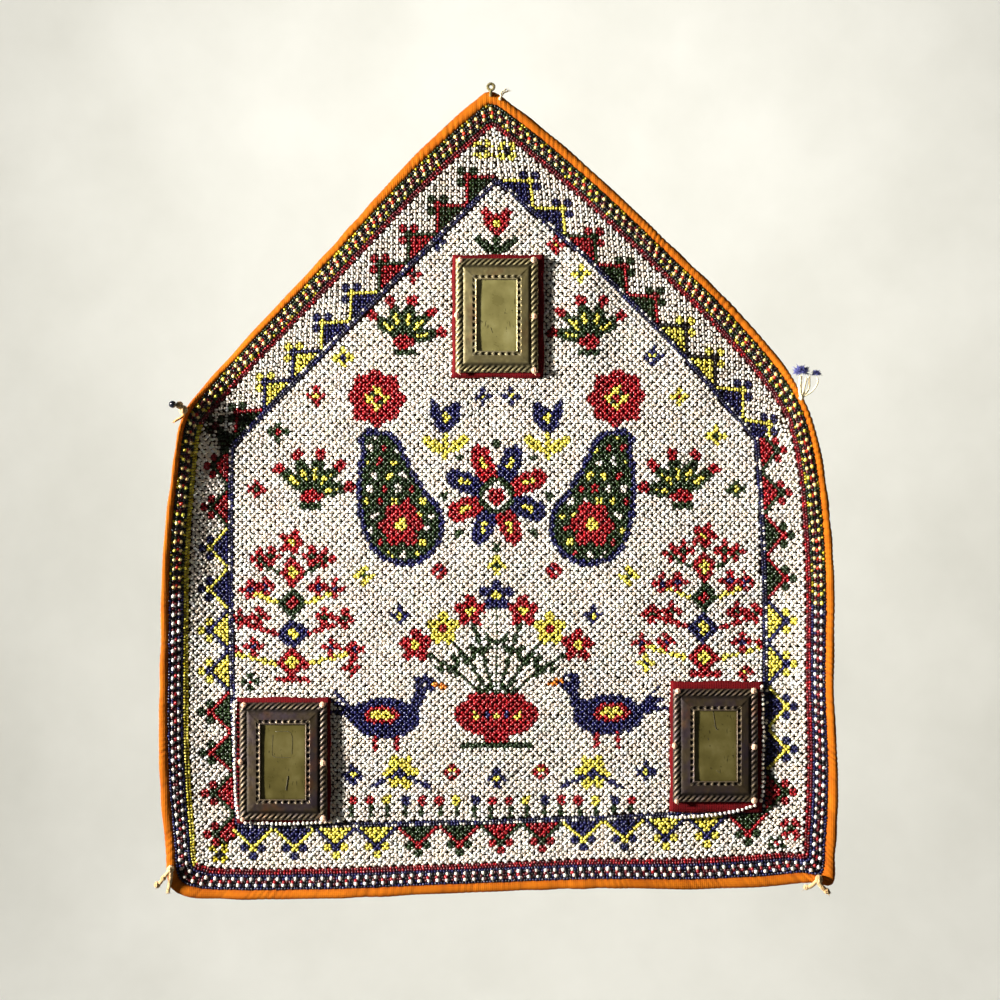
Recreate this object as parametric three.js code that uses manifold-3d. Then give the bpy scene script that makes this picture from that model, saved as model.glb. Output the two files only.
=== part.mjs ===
// A house-shaped beadwork wall hanging: beaded nets sewn to a ground cloth, an orange folded
// binding, three stamped mirror frames on red pads, and a loop and ties at the five corners.
// Millimetres, +Z up. The front faces -Y, +X is to the right, and the origin is the point
// that the apex loop hangs from.

import * as THREE from "three";
import { mergeVertices } from "three/addons/utils/BufferGeometryUtils.js";
import Module from "manifold-3d";

const wasm = await Module();
wasm.setup();

// How far in front of the middle of the ground cloth each layer starts and ends, and how
// far in front of it the apex loop hangs.
const GAP = 0.3;
const GROUND_HALF = 0.6;
const NET_BACK = GROUND_HALF + GAP;
const NET_FRONT = 2.9;
const RIM_FRONT = 3.4;
const BINDING_FRONT = 2.3;
const PAD_BACK = NET_FRONT + 2 * GAP;
const PAD_FRONT = 4.5;
const FRAME_BACK = PAD_FRONT + GAP;
const LOOP_FRONT = 3.2;

// Widths of the bands, measured in from the outer edge. A cover is a share of the binding's
// own width, and the shrinks take the border line in towards the middle of the field.
const BORDER_REACH = 46;
const RIM_WIDTH = 12.5;
const RIM_MIDDLE = 6;
const RIM_ROUND = 3;
const NET_MIDDLE = { cover: 0.4, inset: 32 };
const SLOT_COVER = 0.33;
const FIELD_SHRINKS = [0.8, 0.55, 0.28];

// The apex loop's eye and its thread.
const LOOP_RADIUS = 2.1;
const LOOP_THREAD = 1.1;

// The locks of a tuft: how far down its sides they reach, how thick they are at the root, and
// where they stand, as shares of the core's radius and of their own length.
const LOCK_SPREAD = 1.05;
const LOCK_THICK = 0.3;
const LOCK_ROOT = 0.8;
const LOCK_OUT = 0.3;
const GOLDEN_ANGLE = Math.PI * (3 - Math.sqrt(5));

// The two tufts of the right shoulder's tie, and the bead of the left shoulder's.
const LARGE_TUFT = { x: 205.4, z: -190.4, out: 4.6, radius: 3.9, tall: 3.3, locks: 22, length: 2.6 };
const SMALL_TUFT = { x: 215.6, z: -191.6, out: 3.4, radius: 2, tall: 2, locks: 12, length: 1.6 };
const TIE_BEAD = { x: -208.6, z: -212.4, out: 5.4, radius: 2.5 };

// How finely loops, pads, frames and strands are cut into flat faces.
const SIDES = 5;
const STEPS_A_SIDE = 14;
const CURVE_STEPS = 24;
const PAD_STEPS = 4;
const FRAME_STEPS = 3;
const STRAND_SIDES = 6;
const LOCK_SIDES = 4;
const MERGE_WITHIN = 1e-4;

// The outer edge of the binding, clockwise from the apex, as it hangs.
const OUTLINE = [
  { x: -1, z: -2.3, corner: true },
  { x: 16, z: -12.5 },
  { x: 55.5, z: -44.5 },
  { x: 124, z: -108.6 },
  { x: 165, z: -149 },
  { x: 197, z: -188 },
  { x: 211, z: -214.5, corner: true },
  { x: 219.5, z: -243 },
  { x: 225, z: -282 },
  { x: 228, z: -330 },
  { x: 227.5, z: -400 },
  { x: 230.5, z: -465 },
  { x: 229, z: -510 },
  { x: 226.5, z: -531, corner: true },
  { x: 214, z: -530 },
  { x: 190, z: -532.5 },
  { x: 140, z: -535 },
  { x: 75, z: -534 },
  { x: -25, z: -537.5 },
  { x: -120, z: -541 },
  { x: -180, z: -541.5 },
  { x: -203, z: -539.5 },
  { x: -213.5, z: -533, corner: true },
  { x: -216.5, z: -508 },
  { x: -220, z: -450 },
  { x: -219, z: -372 },
  { x: -216, z: -305 },
  { x: -210.5, z: -258 },
  { x: -202, z: -217, corner: true },
  { x: -186, z: -193.5 },
  { x: -108.5, z: -108.5 },
  { x: -48, z: -42 },
  { x: -12, z: -9.5 },
];

// The navy border line, a row for the corner that starts each side: how far that side bows
// out, and how wide the binding shows at that corner.
const BORDER_LINE = [
  { x: 4, z: -62, bow: 6, binding: 6.5 },
  { x: 177, z: -235, bow: 4, binding: 5 },
  { x: 180.5, z: -481.5, bow: 2.5, binding: 6.6 },
  { x: -168.5, z: -492, bow: 2, binding: 6 },
  { x: -172.5, z: -240, bow: 1.5, binding: 4.4 },
];
const FIELD_MIDDLE = { x: 4, z: -310 };

// Where the cloth stands off the wall: the middle of each fold, its reach each way, and how
// far forward it comes.
const FOLDS = [
  { x: -236, z: -278, wide: 38, tall: 84, forward: 20 },
  { x: -222, z: -220, wide: 34, tall: 34, forward: 14 },
  { x: -238, z: -440, wide: 34, tall: 95, forward: 11 },
  { x: 253, z: -400, wide: 41, tall: 175, forward: 12 },
  { x: 222, z: -190, wide: 34, tall: 45, forward: 6 },
  { x: 38, z: -296, wide: 46, tall: 15, forward: -1.6 },
  { x: 62, z: -140, wide: 16, tall: 60, forward: 2.2 },
  { x: 0, z: -330, wide: 160, tall: 130, forward: 3 },
  { x: -80, z: -556, wide: 50, tall: 34, forward: 3.4 },
  { x: 84, z: -552, wide: 42, tall: 30, forward: 2.4 },
];

// The mirror frames: the middle and the size of each, and how far its red pad shows past it.
const MIRRORS = [
  { name: "top", x: 3.9, z: -152.5, wide: 55, tall: 76, left: 2.3, right: 3.8, above: 2.6, below: 3.2 },
  { name: "left", x: -137.9, z: -448.7, wide: 58.4, tall: 78.2, left: 2, right: 2, above: 3.2, below: 2.4 },
  { name: "right", x: 149.1, z: -438.1, wide: 56.5, tall: 75.3, left: 1.8, right: 3.2, above: 4.8, below: 7 },
];

// The stamped frame cut across, from its outer edge over the twist, the slope and the dotted
// rim to the opening, then back underneath. Inset from the outer edge, and rise off the pad.
const FRAME_SECTION = [
  { inset: 0, rise: 0 },
  { inset: 0.4, rise: 1.6 },
  { inset: 2.6, rise: 2.6 },
  { inset: 5, rise: 1.8 },
  { inset: 5.5, rise: 2.2 },
  { inset: 11.2, rise: 4.1 },
  { inset: 12, rise: 4.9 },
  { inset: 13.6, rise: 4.9 },
  { inset: 14.3, rise: 4.1 },
  { inset: 14.3, rise: 3.4 },
  { inset: 12.2, rise: 3.4 },
  { inset: 5.6, rise: 1.3 },
  { inset: 2.6, rise: 1.7 },
  { inset: 1.1, rise: 0.8 },
  { inset: 0.8, rise: 0 },
];
const PAD_INNER = 14;
const GLASS_INSET = 12.7;
const GLASS_BACK = 1.6;
const GLASS_FRONT = 3.1;

function finish(colour, roughness, metalness) {
  return new THREE.MeshStandardMaterial({ color: colour, roughness, metalness });
}

const FINISHES = {
  ground: finish(0x3a261a, 0.95, 0),
  net: finish(0xe8dfd2, 0.35, 0),
  rim: finish(0x5c1a24, 0.35, 0),
  binding: finish(0xd98a22, 0.85, 0),
  pad: finish(0x8c0d17, 0.9, 0),
  frame: finish(0x4a4030, 0.45, 0.9),
  glass: finish(0x8d8a63, 0.12, 0.9),
  thread: finish(0xc9a877, 0.9, 0),
  cream: finish(0xe6d7ae, 0.9, 0),
  blue: finish(0x3b3f86, 0.95, 0),
  bead: finish(0x10131c, 0.2, 0),
};

const hanging = new THREE.Group();

function add(name, geometry, material) {
  const mesh = new THREE.Mesh(geometry, material);
  mesh.name = name;
  hanging.add(mesh);
}

function signedVolume(positions, index) {
  let volume = 0;
  for (let i = 0; i < index.length; i += 3) {
    const [a, b, c] = [index[i], index[i + 1], index[i + 2]].map((corner) => positions[corner]);
    volume += a.dot(b.clone().cross(c)) / 6;
  }
  return volume;
}

// A closed solid through loops of points. The two ends close it at its middle, front and
// back. Without them the last loop joins the first, as on a ring. The loops of a sheet run
// outwards on its front and inwards on its back, and the cut across each quad turns halfway,
// so that facing sides of stacked sheets are cut alike.
function loft(loops, ends) {
  const count = loops[0].length;
  const positions = loops.flat();
  const index = [];
  const bands = ends ? loops.length - 1 : loops.length;
  for (let band = 0; band < bands; band += 1) {
    const near = band * count;
    const far = ((band + 1) % loops.length) * count;
    const turned = band >= Math.floor(loops.length / 2);
    for (let i = 0; i < count; i += 1) {
      const j = (i + 1) % count;
      index.push(near + i, near + j, far + (turned ? i : j));
      index.push(near + (turned ? j : i), far + j, far + i);
    }
  }
  if (ends) {
    const first = positions.push(ends[0]) - 1;
    const last = positions.push(ends[1]) - 1;
    const tail = (loops.length - 1) * count;
    for (let i = 0; i < count; i += 1) {
      const j = (i + 1) % count;
      index.push(first, j, i, last, tail + i, tail + j);
    }
  }
  if (signedVolume(positions, index) < 0) {
    index.reverse();
  }
  const geometry = new THREE.BufferGeometry().setFromPoints(positions);
  geometry.setIndex(index);
  geometry.computeVertexNormals();
  return geometry;
}

// How far the cloth stands forward of the plane of the wall at a place.
function foldAt(x, z) {
  return FOLDS.reduce((sum, fold) => {
    const across = (x - fold.x) / fold.wide;
    const up = (z - fold.z) / fold.tall;
    return sum + fold.forward * Math.exp(-across * across - up * up);
  }, 0);
}

function onCloth(x, z, out) {
  return new THREE.Vector3(x, LOOP_FRONT - foldAt(x, z) - out, z);
}

const edge = new THREE.CatmullRomCurve3(
  OUTLINE.map((row) => new THREE.Vector3(row.x, 0, row.z)),
  true,
  "centripetal",
);
edge.arcLengthDivisions = OUTLINE.length * CURVE_STEPS;
const edgeLengths = edge.getLengths();
const cornerShares = OUTLINE.flatMap((row, i) => {
  return row.corner ? [edgeLengths[i * CURVE_STEPS] / edgeLengths.at(-1)] : [];
});
cornerShares.push(1);

function outerPoint(side, share) {
  return edge.getPointAt(THREE.MathUtils.lerp(cornerShares[side], cornerShares[side + 1], share));
}

function borderPoint(side, share) {
  const from = BORDER_LINE[side];
  const to = BORDER_LINE[(side + 1) % SIDES];
  const start = new THREE.Vector3(from.x, 0, from.z);
  const along = new THREE.Vector3(to.x - from.x, 0, to.z - from.z);
  const outwards = new THREE.Vector3(-along.z, 0, along.x).normalize();
  const bow = from.bow * 4 * share * (1 - share);
  return start.addScaledVector(along, share).addScaledVector(outwards, bow);
}

// One loop round the cloth. Past the binding's own width and a further inset it lies between
// the outer edge and the border line, and a shrink under 1 takes it into the field.
function ring({ cover = 0, inset = 0, shrink = 1, out }) {
  const points = [];
  for (let side = 0; side < SIDES; side += 1) {
    for (let step = 0; step < STEPS_A_SIDE; step += 1) {
      const share = step / STEPS_A_SIDE;
      const here = BORDER_LINE[side].binding;
      const next = BORDER_LINE[(side + 1) % SIDES].binding;
      const binding = THREE.MathUtils.lerp(here, next, share);
      const reach = (cover * binding + inset) / BORDER_REACH;
      const point = outerPoint(side, share).lerp(borderPoint(side, share), reach);
      const x = THREE.MathUtils.lerp(FIELD_MIDDLE.x, point.x, shrink);
      const z = THREE.MathUtils.lerp(FIELD_MIDDLE.z, point.z, shrink);
      points.push(onCloth(x, z, out));
    }
  }
  return points;
}

// The loops of a sheet, from the insets of its section, outermost first.
function sheetLoops(section, front, back) {
  return [
    ...section.toReversed().map((row) => ring({ ...row, out: front })),
    ...section.map((row) => ring({ ...row, out: back })),
  ];
}

function filledSheet(section, front, back) {
  const { x, z } = FIELD_MIDDLE;
  return loft(sheetLoops(section, front, back), [onCloth(x, z, front), onCloth(x, z, back)]);
}

function groundCloth() {
  const section = [
    { cover: SLOT_COVER, inset: GAP },
    { cover: 1 },
    { cover: 1, inset: RIM_MIDDLE },
    { cover: 1, inset: RIM_WIDTH },
    NET_MIDDLE,
    { inset: BORDER_REACH },
    ...FIELD_SHRINKS.map((shrink) => ({ inset: BORDER_REACH, shrink })),
  ];
  return filledSheet(section, GROUND_HALF, -GROUND_HALF);
}

function fieldNet() {
  const edgeInset = BORDER_REACH + GAP / 2;
  const section = [
    { inset: edgeInset },
    ...FIELD_SHRINKS.map((shrink) => ({ inset: edgeInset, shrink })),
  ];
  return filledSheet(section, NET_FRONT, NET_BACK);
}

function borderNet() {
  const section = [
    { cover: 1, inset: RIM_WIDTH },
    NET_MIDDLE,
    { inset: BORDER_REACH - GAP / 2 },
  ];
  return loft(sheetLoops(section, NET_FRONT, NET_BACK));
}

function rimBand() {
  const inner = RIM_WIDTH - GAP;
  const section = [
    { inset: inner, out: NET_FRONT },
    { inset: RIM_WIDTH - RIM_ROUND, out: RIM_FRONT },
    { inset: RIM_ROUND, out: RIM_FRONT },
    { inset: GAP, out: NET_FRONT },
    { inset: GAP, out: NET_BACK },
    { inset: RIM_MIDDLE, out: NET_BACK },
    { inset: inner, out: NET_BACK },
  ];
  return loft(section.map((row) => ring({ cover: 1, ...row })));
}

// The binding wraps the edge of the ground cloth, front and back, with a slot between.
function binding() {
  const round = [
    { cover: 1, out: NET_BACK },
    { cover: 1, out: BINDING_FRONT - GAP },
    { cover: 0.5, out: BINDING_FRONT },
    { cover: 0.12, out: BINDING_FRONT * 0.7 },
    { cover: 0, out: 0 },
    { cover: 0.12, out: -BINDING_FRONT * 0.7 },
    { cover: 0.5, out: -BINDING_FRONT },
    { cover: 1, out: GAP - BINDING_FRONT },
    { cover: 1, out: -NET_BACK },
    { cover: SLOT_COVER, out: -NET_BACK },
    { cover: SLOT_COVER, out: NET_BACK },
  ];
  return loft(round.map(ring));
}

// A rectangle of points inside a frame's outline, with its sides cut into equal steps.
function rectangle(box, inset, steps) {
  const left = box.left + inset;
  const right = box.right - inset;
  const top = box.top - inset;
  const foot = box.foot + inset;
  const corners = [
    { x: left, z: top },
    { x: right, z: top },
    { x: right, z: foot },
    { x: left, z: foot },
  ];
  return corners.flatMap((corner, i) => {
    const next = corners[(i + 1) % corners.length];
    return Array.from({ length: steps }, (_, step) => ({
      x: THREE.MathUtils.lerp(corner.x, next.x, step / steps),
      z: THREE.MathUtils.lerp(corner.z, next.z, step / steps),
    }));
  });
}

function frameBox(mirror) {
  return {
    left: mirror.x - mirror.wide / 2,
    right: mirror.x + mirror.wide / 2,
    top: mirror.z + mirror.tall / 2,
    foot: mirror.z - mirror.tall / 2,
  };
}

// The pad is cloth, so it follows the folds under it.
function pad(mirror) {
  const frame = frameBox(mirror);
  const box = {
    left: frame.left - mirror.left,
    right: frame.right + mirror.right,
    top: frame.top + mirror.above,
    foot: frame.foot - mirror.below,
  };
  const loopAt = (inset, out) => rectangle(box, inset, PAD_STEPS).map(({ x, z }) => onCloth(x, z, out));
  const loops = [
    loopAt(PAD_INNER, PAD_BACK),
    loopAt(0, PAD_BACK),
    loopAt(0, PAD_FRONT),
    loopAt(PAD_INNER, PAD_FRONT),
  ];
  return loft(loops, [onCloth(mirror.x, mirror.z, PAD_BACK), onCloth(mirror.x, mirror.z, PAD_FRONT)]);
}

// Metal and glass stay flat: they lie on the plane that touches the pad's highest place.
function onFrame(mirror, x, z, rise) {
  const highest = Math.max(...rectangle(frameBox(mirror), 0, PAD_STEPS).map((place) => {
    return foldAt(place.x, place.z) - foldAt(mirror.x, mirror.z);
  }), 0);
  const base = foldAt(mirror.x, mirror.z) + highest + FRAME_BACK;
  return new THREE.Vector3(x, LOOP_FRONT - base - rise, z);
}

function frame(mirror) {
  return loft(FRAME_SECTION.map(({ inset, rise }) => {
    return rectangle(frameBox(mirror), inset, FRAME_STEPS).map(({ x, z }) => onFrame(mirror, x, z, rise));
  }));
}

function glass(mirror) {
  const [back, front] = [GLASS_BACK, GLASS_FRONT].map((rise) => {
    return rectangle(frameBox(mirror), GLASS_INSET, 1).map(({ x, z }) => onFrame(mirror, x, z, rise));
  });
  const { x, z } = mirror;
  return loft([back, front], [onFrame(mirror, x, z, GLASS_BACK), onFrame(mirror, x, z, GLASS_FRONT)]);
}

function solidOf(geometry) {
  const bare = geometry.clone();
  bare.deleteAttribute("normal");
  bare.deleteAttribute("uv");
  const merged = mergeVertices(bare, MERGE_WITHIN);
  return new wasm.Manifold(new wasm.Mesh({
    numProp: 3,
    vertProperties: new Float32Array(merged.attributes.position.array),
    triVerts: new Uint32Array(merged.index.array),
  }));
}

function fuse(geometries) {
  const solid = geometries.map(solidOf).reduce((whole, piece) => whole.add(piece));
  const mesh = solid.getMesh();
  const geometry = new THREE.BufferGeometry();
  geometry.setAttribute("position", new THREE.BufferAttribute(mesh.vertProperties, 3));
  geometry.setIndex(new THREE.BufferAttribute(mesh.triVerts, 1));
  geometry.computeVertexNormals();
  return geometry;
}

// A length of thread or cord through places given as x, z and the distance off the cloth.
function strand(places, radius) {
  const path = new THREE.CatmullRomCurve3(places.map(({ x, z, out }) => onCloth(x, z, out)));
  const round = new THREE.Shape();
  for (let i = 0; i < STRAND_SIDES; i += 1) {
    const angle = (i / STRAND_SIDES) * 2 * Math.PI;
    const [across, up] = [radius * Math.cos(angle), radius * Math.sin(angle)];
    if (i === 0) {
      round.moveTo(across, up);
    } else {
      round.lineTo(across, up);
    }
  }
  round.closePath();
  return new THREE.ExtrudeGeometry(round, { steps: places.length * 2, extrudePath: path });
}

function lump({ x, z, out, radius, tall = radius }) {
  const geometry = new THREE.IcosahedronGeometry(radius, 1);
  geometry.scale(1, 1, tall / radius);
  const place = onCloth(x, z, out);
  geometry.translate(place.x, place.y, place.z);
  return geometry;
}

// A tuft is a soft core with short locks standing out of it, above and to the sides.
function tuft({ locks, length, ...core }) {
  const pieces = [lump(core)];
  const middle = onCloth(core.x, core.z, core.out);
  for (let i = 0; i < locks; i += 1) {
    const share = (i + 0.5) / locks;
    const rise = 1 - LOCK_SPREAD * share;
    const turn = i * GOLDEN_ANGLE;
    const level = Math.sqrt(1 - rise * rise);
    const way = new THREE.Vector3(level * Math.cos(turn), level * Math.sin(turn), rise);
    const lock = new THREE.ConeGeometry(core.radius * LOCK_THICK, length, LOCK_SIDES);
    lock.applyQuaternion(new THREE.Quaternion().setFromUnitVectors(new THREE.Vector3(0, 1, 0), way));
    const reach = core.radius * LOCK_ROOT + length * LOCK_OUT;
    lock.translate(middle.x + way.x * reach, middle.y + way.y * reach, middle.z + way.z * reach);
    pieces.push(lock);
  }
  return fuse(pieces);
}

// The apex loop is a ring of thick thread with a neck down to the front of the binding.
function hangingLoop() {
  const eye = new THREE.TorusGeometry(LOOP_RADIUS, LOOP_THREAD, 6, 14);
  eye.rotateX(Math.PI / 2);
  const neck = strand([
    { x: 0, z: -LOOP_RADIUS, out: LOOP_FRONT },
    { x: -0.2, z: -4.2, out: 3.6 },
    { x: -0.4, z: -6.4, out: 3.7 },
  ], LOOP_THREAD);
  return fuse([eye, neck]);
}

function apexThread() {
  return fuse([
    lump({ x: 6.2, z: -8, out: 3.6, radius: 1.2 }),
    strand([
      { x: 6.2, z: -7.8, out: 3.6 },
      { x: 8.4, z: -4.2, out: 3.4 },
      { x: 11.4, z: -2.6, out: 2.4 },
    ], 0.7),
    strand([
      { x: 6.4, z: -7.6, out: 3.6 },
      { x: 7, z: -3.6, out: 4 },
      { x: 9.2, z: -1.4, out: 3.4 },
    ], 0.6),
  ]);
}

function leftTieCord() {
  return fuse([
    lump({ x: -202.2, z: -215.8, out: 4.5, radius: 2.6 }),
    lump({ x: -204.4, z: -213, out: 4.5, radius: 2.1 }),
    strand([
      { x: -200.8, z: -216.4, out: 4.2 },
      { x: -202.6, z: -220.2, out: 4.4 },
      { x: -207.8, z: -224, out: 3.4 },
    ], 1),
  ]);
}

function rightTieCord() {
  return fuse([
    lump({ x: 205.8, z: -207.2, out: 4.6, radius: 1.9 }),
    strand([
      { x: 205.6, z: -207, out: 4.6 },
      { x: 204.8, z: -201, out: 4.6 },
      { x: 205.2, z: -194.3, out: 4.4 },
    ], 1.5),
    strand([
      { x: 206.4, z: -206.6, out: 4.4 },
      { x: 210.4, z: -201, out: 3.8 },
      { x: 210.8, z: -193.8, out: 3.8 },
    ], 1.1),
    strand([
      { x: 206.4, z: -207, out: 4.6 },
      { x: 212.8, z: -203, out: 4 },
      { x: 216.4, z: -197.4, out: 3.8 },
      { x: 215.8, z: -194.2, out: 3.4 },
    ], 0.6),
  ]);
}

function lowerLeftTie() {
  return fuse([
    lump({ x: -212.6, z: -520, out: 5, radius: 2.2 }),
    strand([
      { x: -212.8, z: -520, out: 4.6 },
      { x: -217.2, z: -526, out: 4.4 },
      { x: -222.4, z: -532.4, out: 3 },
    ], 1.3),
    strand([
      { x: -212.4, z: -520, out: 4.6 },
      { x: -213, z: -527.4, out: 4.6 },
      { x: -214.8, z: -536.4, out: 3.2 },
    ], 1.3),
    lump({ x: -222.2, z: -531.6, out: 3.2, radius: 1.7 }),
  ]);
}

function lowerRightTie() {
  return fuse([
    lump({ x: 217.6, z: -526.4, out: 5, radius: 2.3 }),
    strand([
      { x: 216, z: -527, out: 4.6 },
      { x: 220, z: -532.2, out: 4.4 },
      { x: 224.6, z: -536.2, out: 3.4 },
    ], 1.6),
    strand([
      { x: 217, z: -527, out: 4.6 },
      { x: 212.6, z: -531.4, out: 4.4 },
      { x: 208.6, z: -532.8, out: 3.6 },
    ], 1.4),
  ]);
}

add("ground_cloth", groundCloth(), FINISHES.ground);
add("field_net", fieldNet(), FINISHES.net);
add("border_net", borderNet(), FINISHES.net);
add("rim_band", rimBand(), FINISHES.rim);
add("binding", binding(), FINISHES.binding);
for (const mirror of MIRRORS) {
  add(`pad_${mirror.name}`, pad(mirror), FINISHES.pad);
  add(`frame_${mirror.name}`, frame(mirror), FINISHES.frame);
  add(`mirror_${mirror.name}`, glass(mirror), FINISHES.glass);
}
add("hanging_loop", hangingLoop(), FINISHES.thread);
add("apex_thread", apexThread(), FINISHES.cream);
add("left_tie_cord", leftTieCord(), FINISHES.thread);
add("left_tie_bead", lump(TIE_BEAD), FINISHES.bead);
add("right_tie_cord", rightTieCord(), FINISHES.cream);
add("right_tie_tuft", tuft(LARGE_TUFT), FINISHES.blue);
add("right_tie_small_tuft", tuft(SMALL_TUFT), FINISHES.blue);
add("lower_left_tie", lowerLeftTie(), FINISHES.thread);
add("lower_right_tie", lowerRightTie(), FINISHES.thread);

export default hanging;
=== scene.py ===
# A house-shaped beadwork wall hanging seen straight on: beaded nets and a beaded rim on a dark
# ground cloth, an orange folded binding, three stamped mirror frames on red pads, and a loop
# and ties at the corners. Sizes are in millimetres and become metres where a mesh is made.
# The front faces -Y, +X is to the right, and the origin is the point the loop hangs from.

import math

import bpy
import numpy as np
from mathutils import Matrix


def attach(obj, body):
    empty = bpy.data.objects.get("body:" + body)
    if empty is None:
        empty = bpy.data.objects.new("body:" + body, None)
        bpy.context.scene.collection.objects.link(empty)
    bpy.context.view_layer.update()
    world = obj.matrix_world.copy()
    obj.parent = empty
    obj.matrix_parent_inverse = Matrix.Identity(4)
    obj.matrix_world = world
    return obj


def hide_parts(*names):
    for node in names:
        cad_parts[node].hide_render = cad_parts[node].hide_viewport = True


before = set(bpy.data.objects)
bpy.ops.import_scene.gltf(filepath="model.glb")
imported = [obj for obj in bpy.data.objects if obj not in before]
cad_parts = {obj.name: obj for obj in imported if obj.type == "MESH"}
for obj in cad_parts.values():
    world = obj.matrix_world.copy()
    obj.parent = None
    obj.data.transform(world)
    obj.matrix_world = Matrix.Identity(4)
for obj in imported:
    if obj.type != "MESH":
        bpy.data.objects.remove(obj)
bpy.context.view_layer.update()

MM = 0.001
chance = np.random.default_rng(20)

# How far in front of the middle of the ground cloth each layer starts and ends.
GAP = 0.3
GROUND_HALF = 0.6
NET_FRONT = 2.9
PAD_BACK = NET_FRONT + 2 * GAP
PAD_FRONT = 4.5
FRAME_BACK = PAD_FRONT + GAP
LOOP_FRONT = 3.2

# Widths of the bands, measured in from the outer edge.
BORDER_REACH = 46
RIM_WIDTH = 12.5
SLOT_COVER = 0.33

# The outer edge of the binding, clockwise from the apex: x and z of its places, side by side.
OUTLINE = [
    [(-1, -2.3), (16, -12.5), (55.5, -44.5), (124, -108.6), (165, -149), (197, -188)],
    [(211, -214.5), (219.5, -243), (225, -282), (228, -330), (227.5, -400), (230.5, -465), (229, -510)],
    [
        (226.5, -531), (214, -530), (190, -532.5), (140, -535), (75, -534), (-25, -537.5), (-120, -541),
        (-180, -541.5), (-203, -539.5),
    ],
    [(-213.5, -533), (-216.5, -508), (-220, -450), (-219, -372), (-216, -305), (-210.5, -258)],
    [(-202, -217), (-186, -193.5), (-108.5, -108.5), (-48, -42), (-12, -9.5)],
]

# The navy border line, a row for the corner that starts each side: x, z, how far that side
# bows out, and how wide the binding shows at that corner.
BORDER_LINE = [
    (4, -62, 6, 6.5),
    (177, -235, 4, 5),
    (180.5, -481.5, 2.5, 6.6),
    (-168.5, -492, 2, 6),
    (-172.5, -240, 1.5, 4.4),
]

# The row of motifs on each side: how far along the first one is, and from one to the next.
MOTIF_ROWS = [
    (16.0, 28.4),
    (6.8, 28.5),
    (9.3, 27.5),
    (-5.5, 27.25),
    (19.1, 27.45),
]
SIDES = 5
FIELD_MIDDLE = np.array([4.0, -310.0])

# Where the cloth stands forward of its plane: x, z, reach across, reach up and how far.
FOLDS = [
    (-236, -278, 38, 84, 20),
    (-222, -220, 34, 34, 14),
    (-238, -440, 34, 95, 11),
    (253, -400, 41, 175, 12),
    (222, -190, 34, 45, 6),
    (38, -296, 46, 15, -1.6),
    (62, -140, 16, 60, 2.2),
    (0, -330, 160, 130, 3),
    (-80, -556, 50, 34, 3.4),
    (84, -552, 42, 30, 2.4),
]

# Small unevenness of the sewn nets: across, up, how far forward, and where it starts.
RIPPLES = [
    (27, 21, 0.5, 0.4),
    (15, 33, 0.4, 2.1),
    (9, 12, 0.22, 4.4),
]
RIPPLE_CALM = 14

# The mirror frames: x, z, wide, tall, and how far the red pad shows left, right, above, below.
MIRRORS = {
    "top": (3.9, -152.5, 55, 76, 2.3, 3.8, 2.6, 3.2),
    "left": (-137.9, -448.7, 58.4, 78.2, 2, 2, 3.2, 2.4),
    "right": (149.1, -438.1, 56.5, 75.3, 1.8, 3.2, 4.8, 7),
}

# The square lattice of the nets: from hole to hole, and the size of a bead.
LATTICE = 3.86
NET_MIDDLE = 1.68
NET_BEAD = (1.28, 1.02)
SLOPE_BEAD = (1.18, 0.84)
LINE_BEAD = (1.02, 1.0)
RIM_BEAD = (1.0, 0.98)
RUNG_BEAD = (1.36, 1.5)
NET_CELLS = 82
MOTIF_CELLS = 5
MOTIF_LENGTH = MOTIF_CELLS * math.sqrt(2) * LATTICE

# Bead colours, as they look in daylight.
WHITE, RED, GREEN, NAVY, YELLOW, MAROON, OLIVE, CREAM, ORANGE, BLACK, SCARLET, DEEP = range(12)
BEAD_COLOURS = [
    (246, 234, 221),
    (146, 13, 22),
    (30, 48, 18),
    (24, 24, 76),
    (230, 214, 84),
    (84, 8, 18),
    (176, 158, 24),
    (236, 206, 132),
    (222, 122, 24),
    (20, 15, 20),
    (202, 52, 30),
    (18, 16, 42),
]



def runs(*rows):
    """A row of motifs, from how many of each fill and outline follow each other."""
    return [(fill, outline) for count, fill, outline in rows for _ in range(count)]


# The motifs of the border net, side by side and clockwise: how many, their fill and outline.
BORDER_MOTIFS = [
    runs((2, NAVY, YELLOW), (1, RED, GREEN), (2, GREEN, RED), (2, YELLOW, BLACK), (2, NAVY, YELLOW)),
    runs((2, RED, GREEN), (2, GREEN, RED), (2, YELLOW, NAVY), (2, NAVY, YELLOW), (1, RED, GREEN)),
    runs(
        (1, GREEN, RED), (2, YELLOW, NAVY), (2, NAVY, YELLOW), (2, RED, GREEN), (2, GREEN, RED),
        (2, YELLOW, NAVY), (2, NAVY, YELLOW),
    ),
    runs((2, RED, GREEN), (2, GREEN, RED), (2, YELLOW, NAVY), (2, NAVY, YELLOW), (2, RED, GREEN)),
    runs((1, GREEN, RED), (2, YELLOW, NAVY), (2, NAVY, YELLOW), (2, RED, GREEN), (2, GREEN, RED)),
]


def linear(colour):
    """A daylight colour of 0 to 255 as the light it sends back."""
    part = np.array(colour, float) / 255
    return np.where(part <= 0.04045, part / 12.92, ((part + 0.055) / 1.055) ** 2.4)


def unit(vectors):
    """The same directions with a length of one."""
    return vectors / np.linalg.norm(vectors, axis=-1, keepdims=True)


def square_to(vectors, others):
    """Directions turned so that each is square to another."""
    return unit(vectors - others * np.einsum("ij,ij->i", vectors, others)[:, None])


def run_of(line):
    """How far along a line each of its points is."""
    return np.concatenate([[0], np.cumsum(np.linalg.norm(np.diff(line, axis=0), axis=1))])


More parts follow.
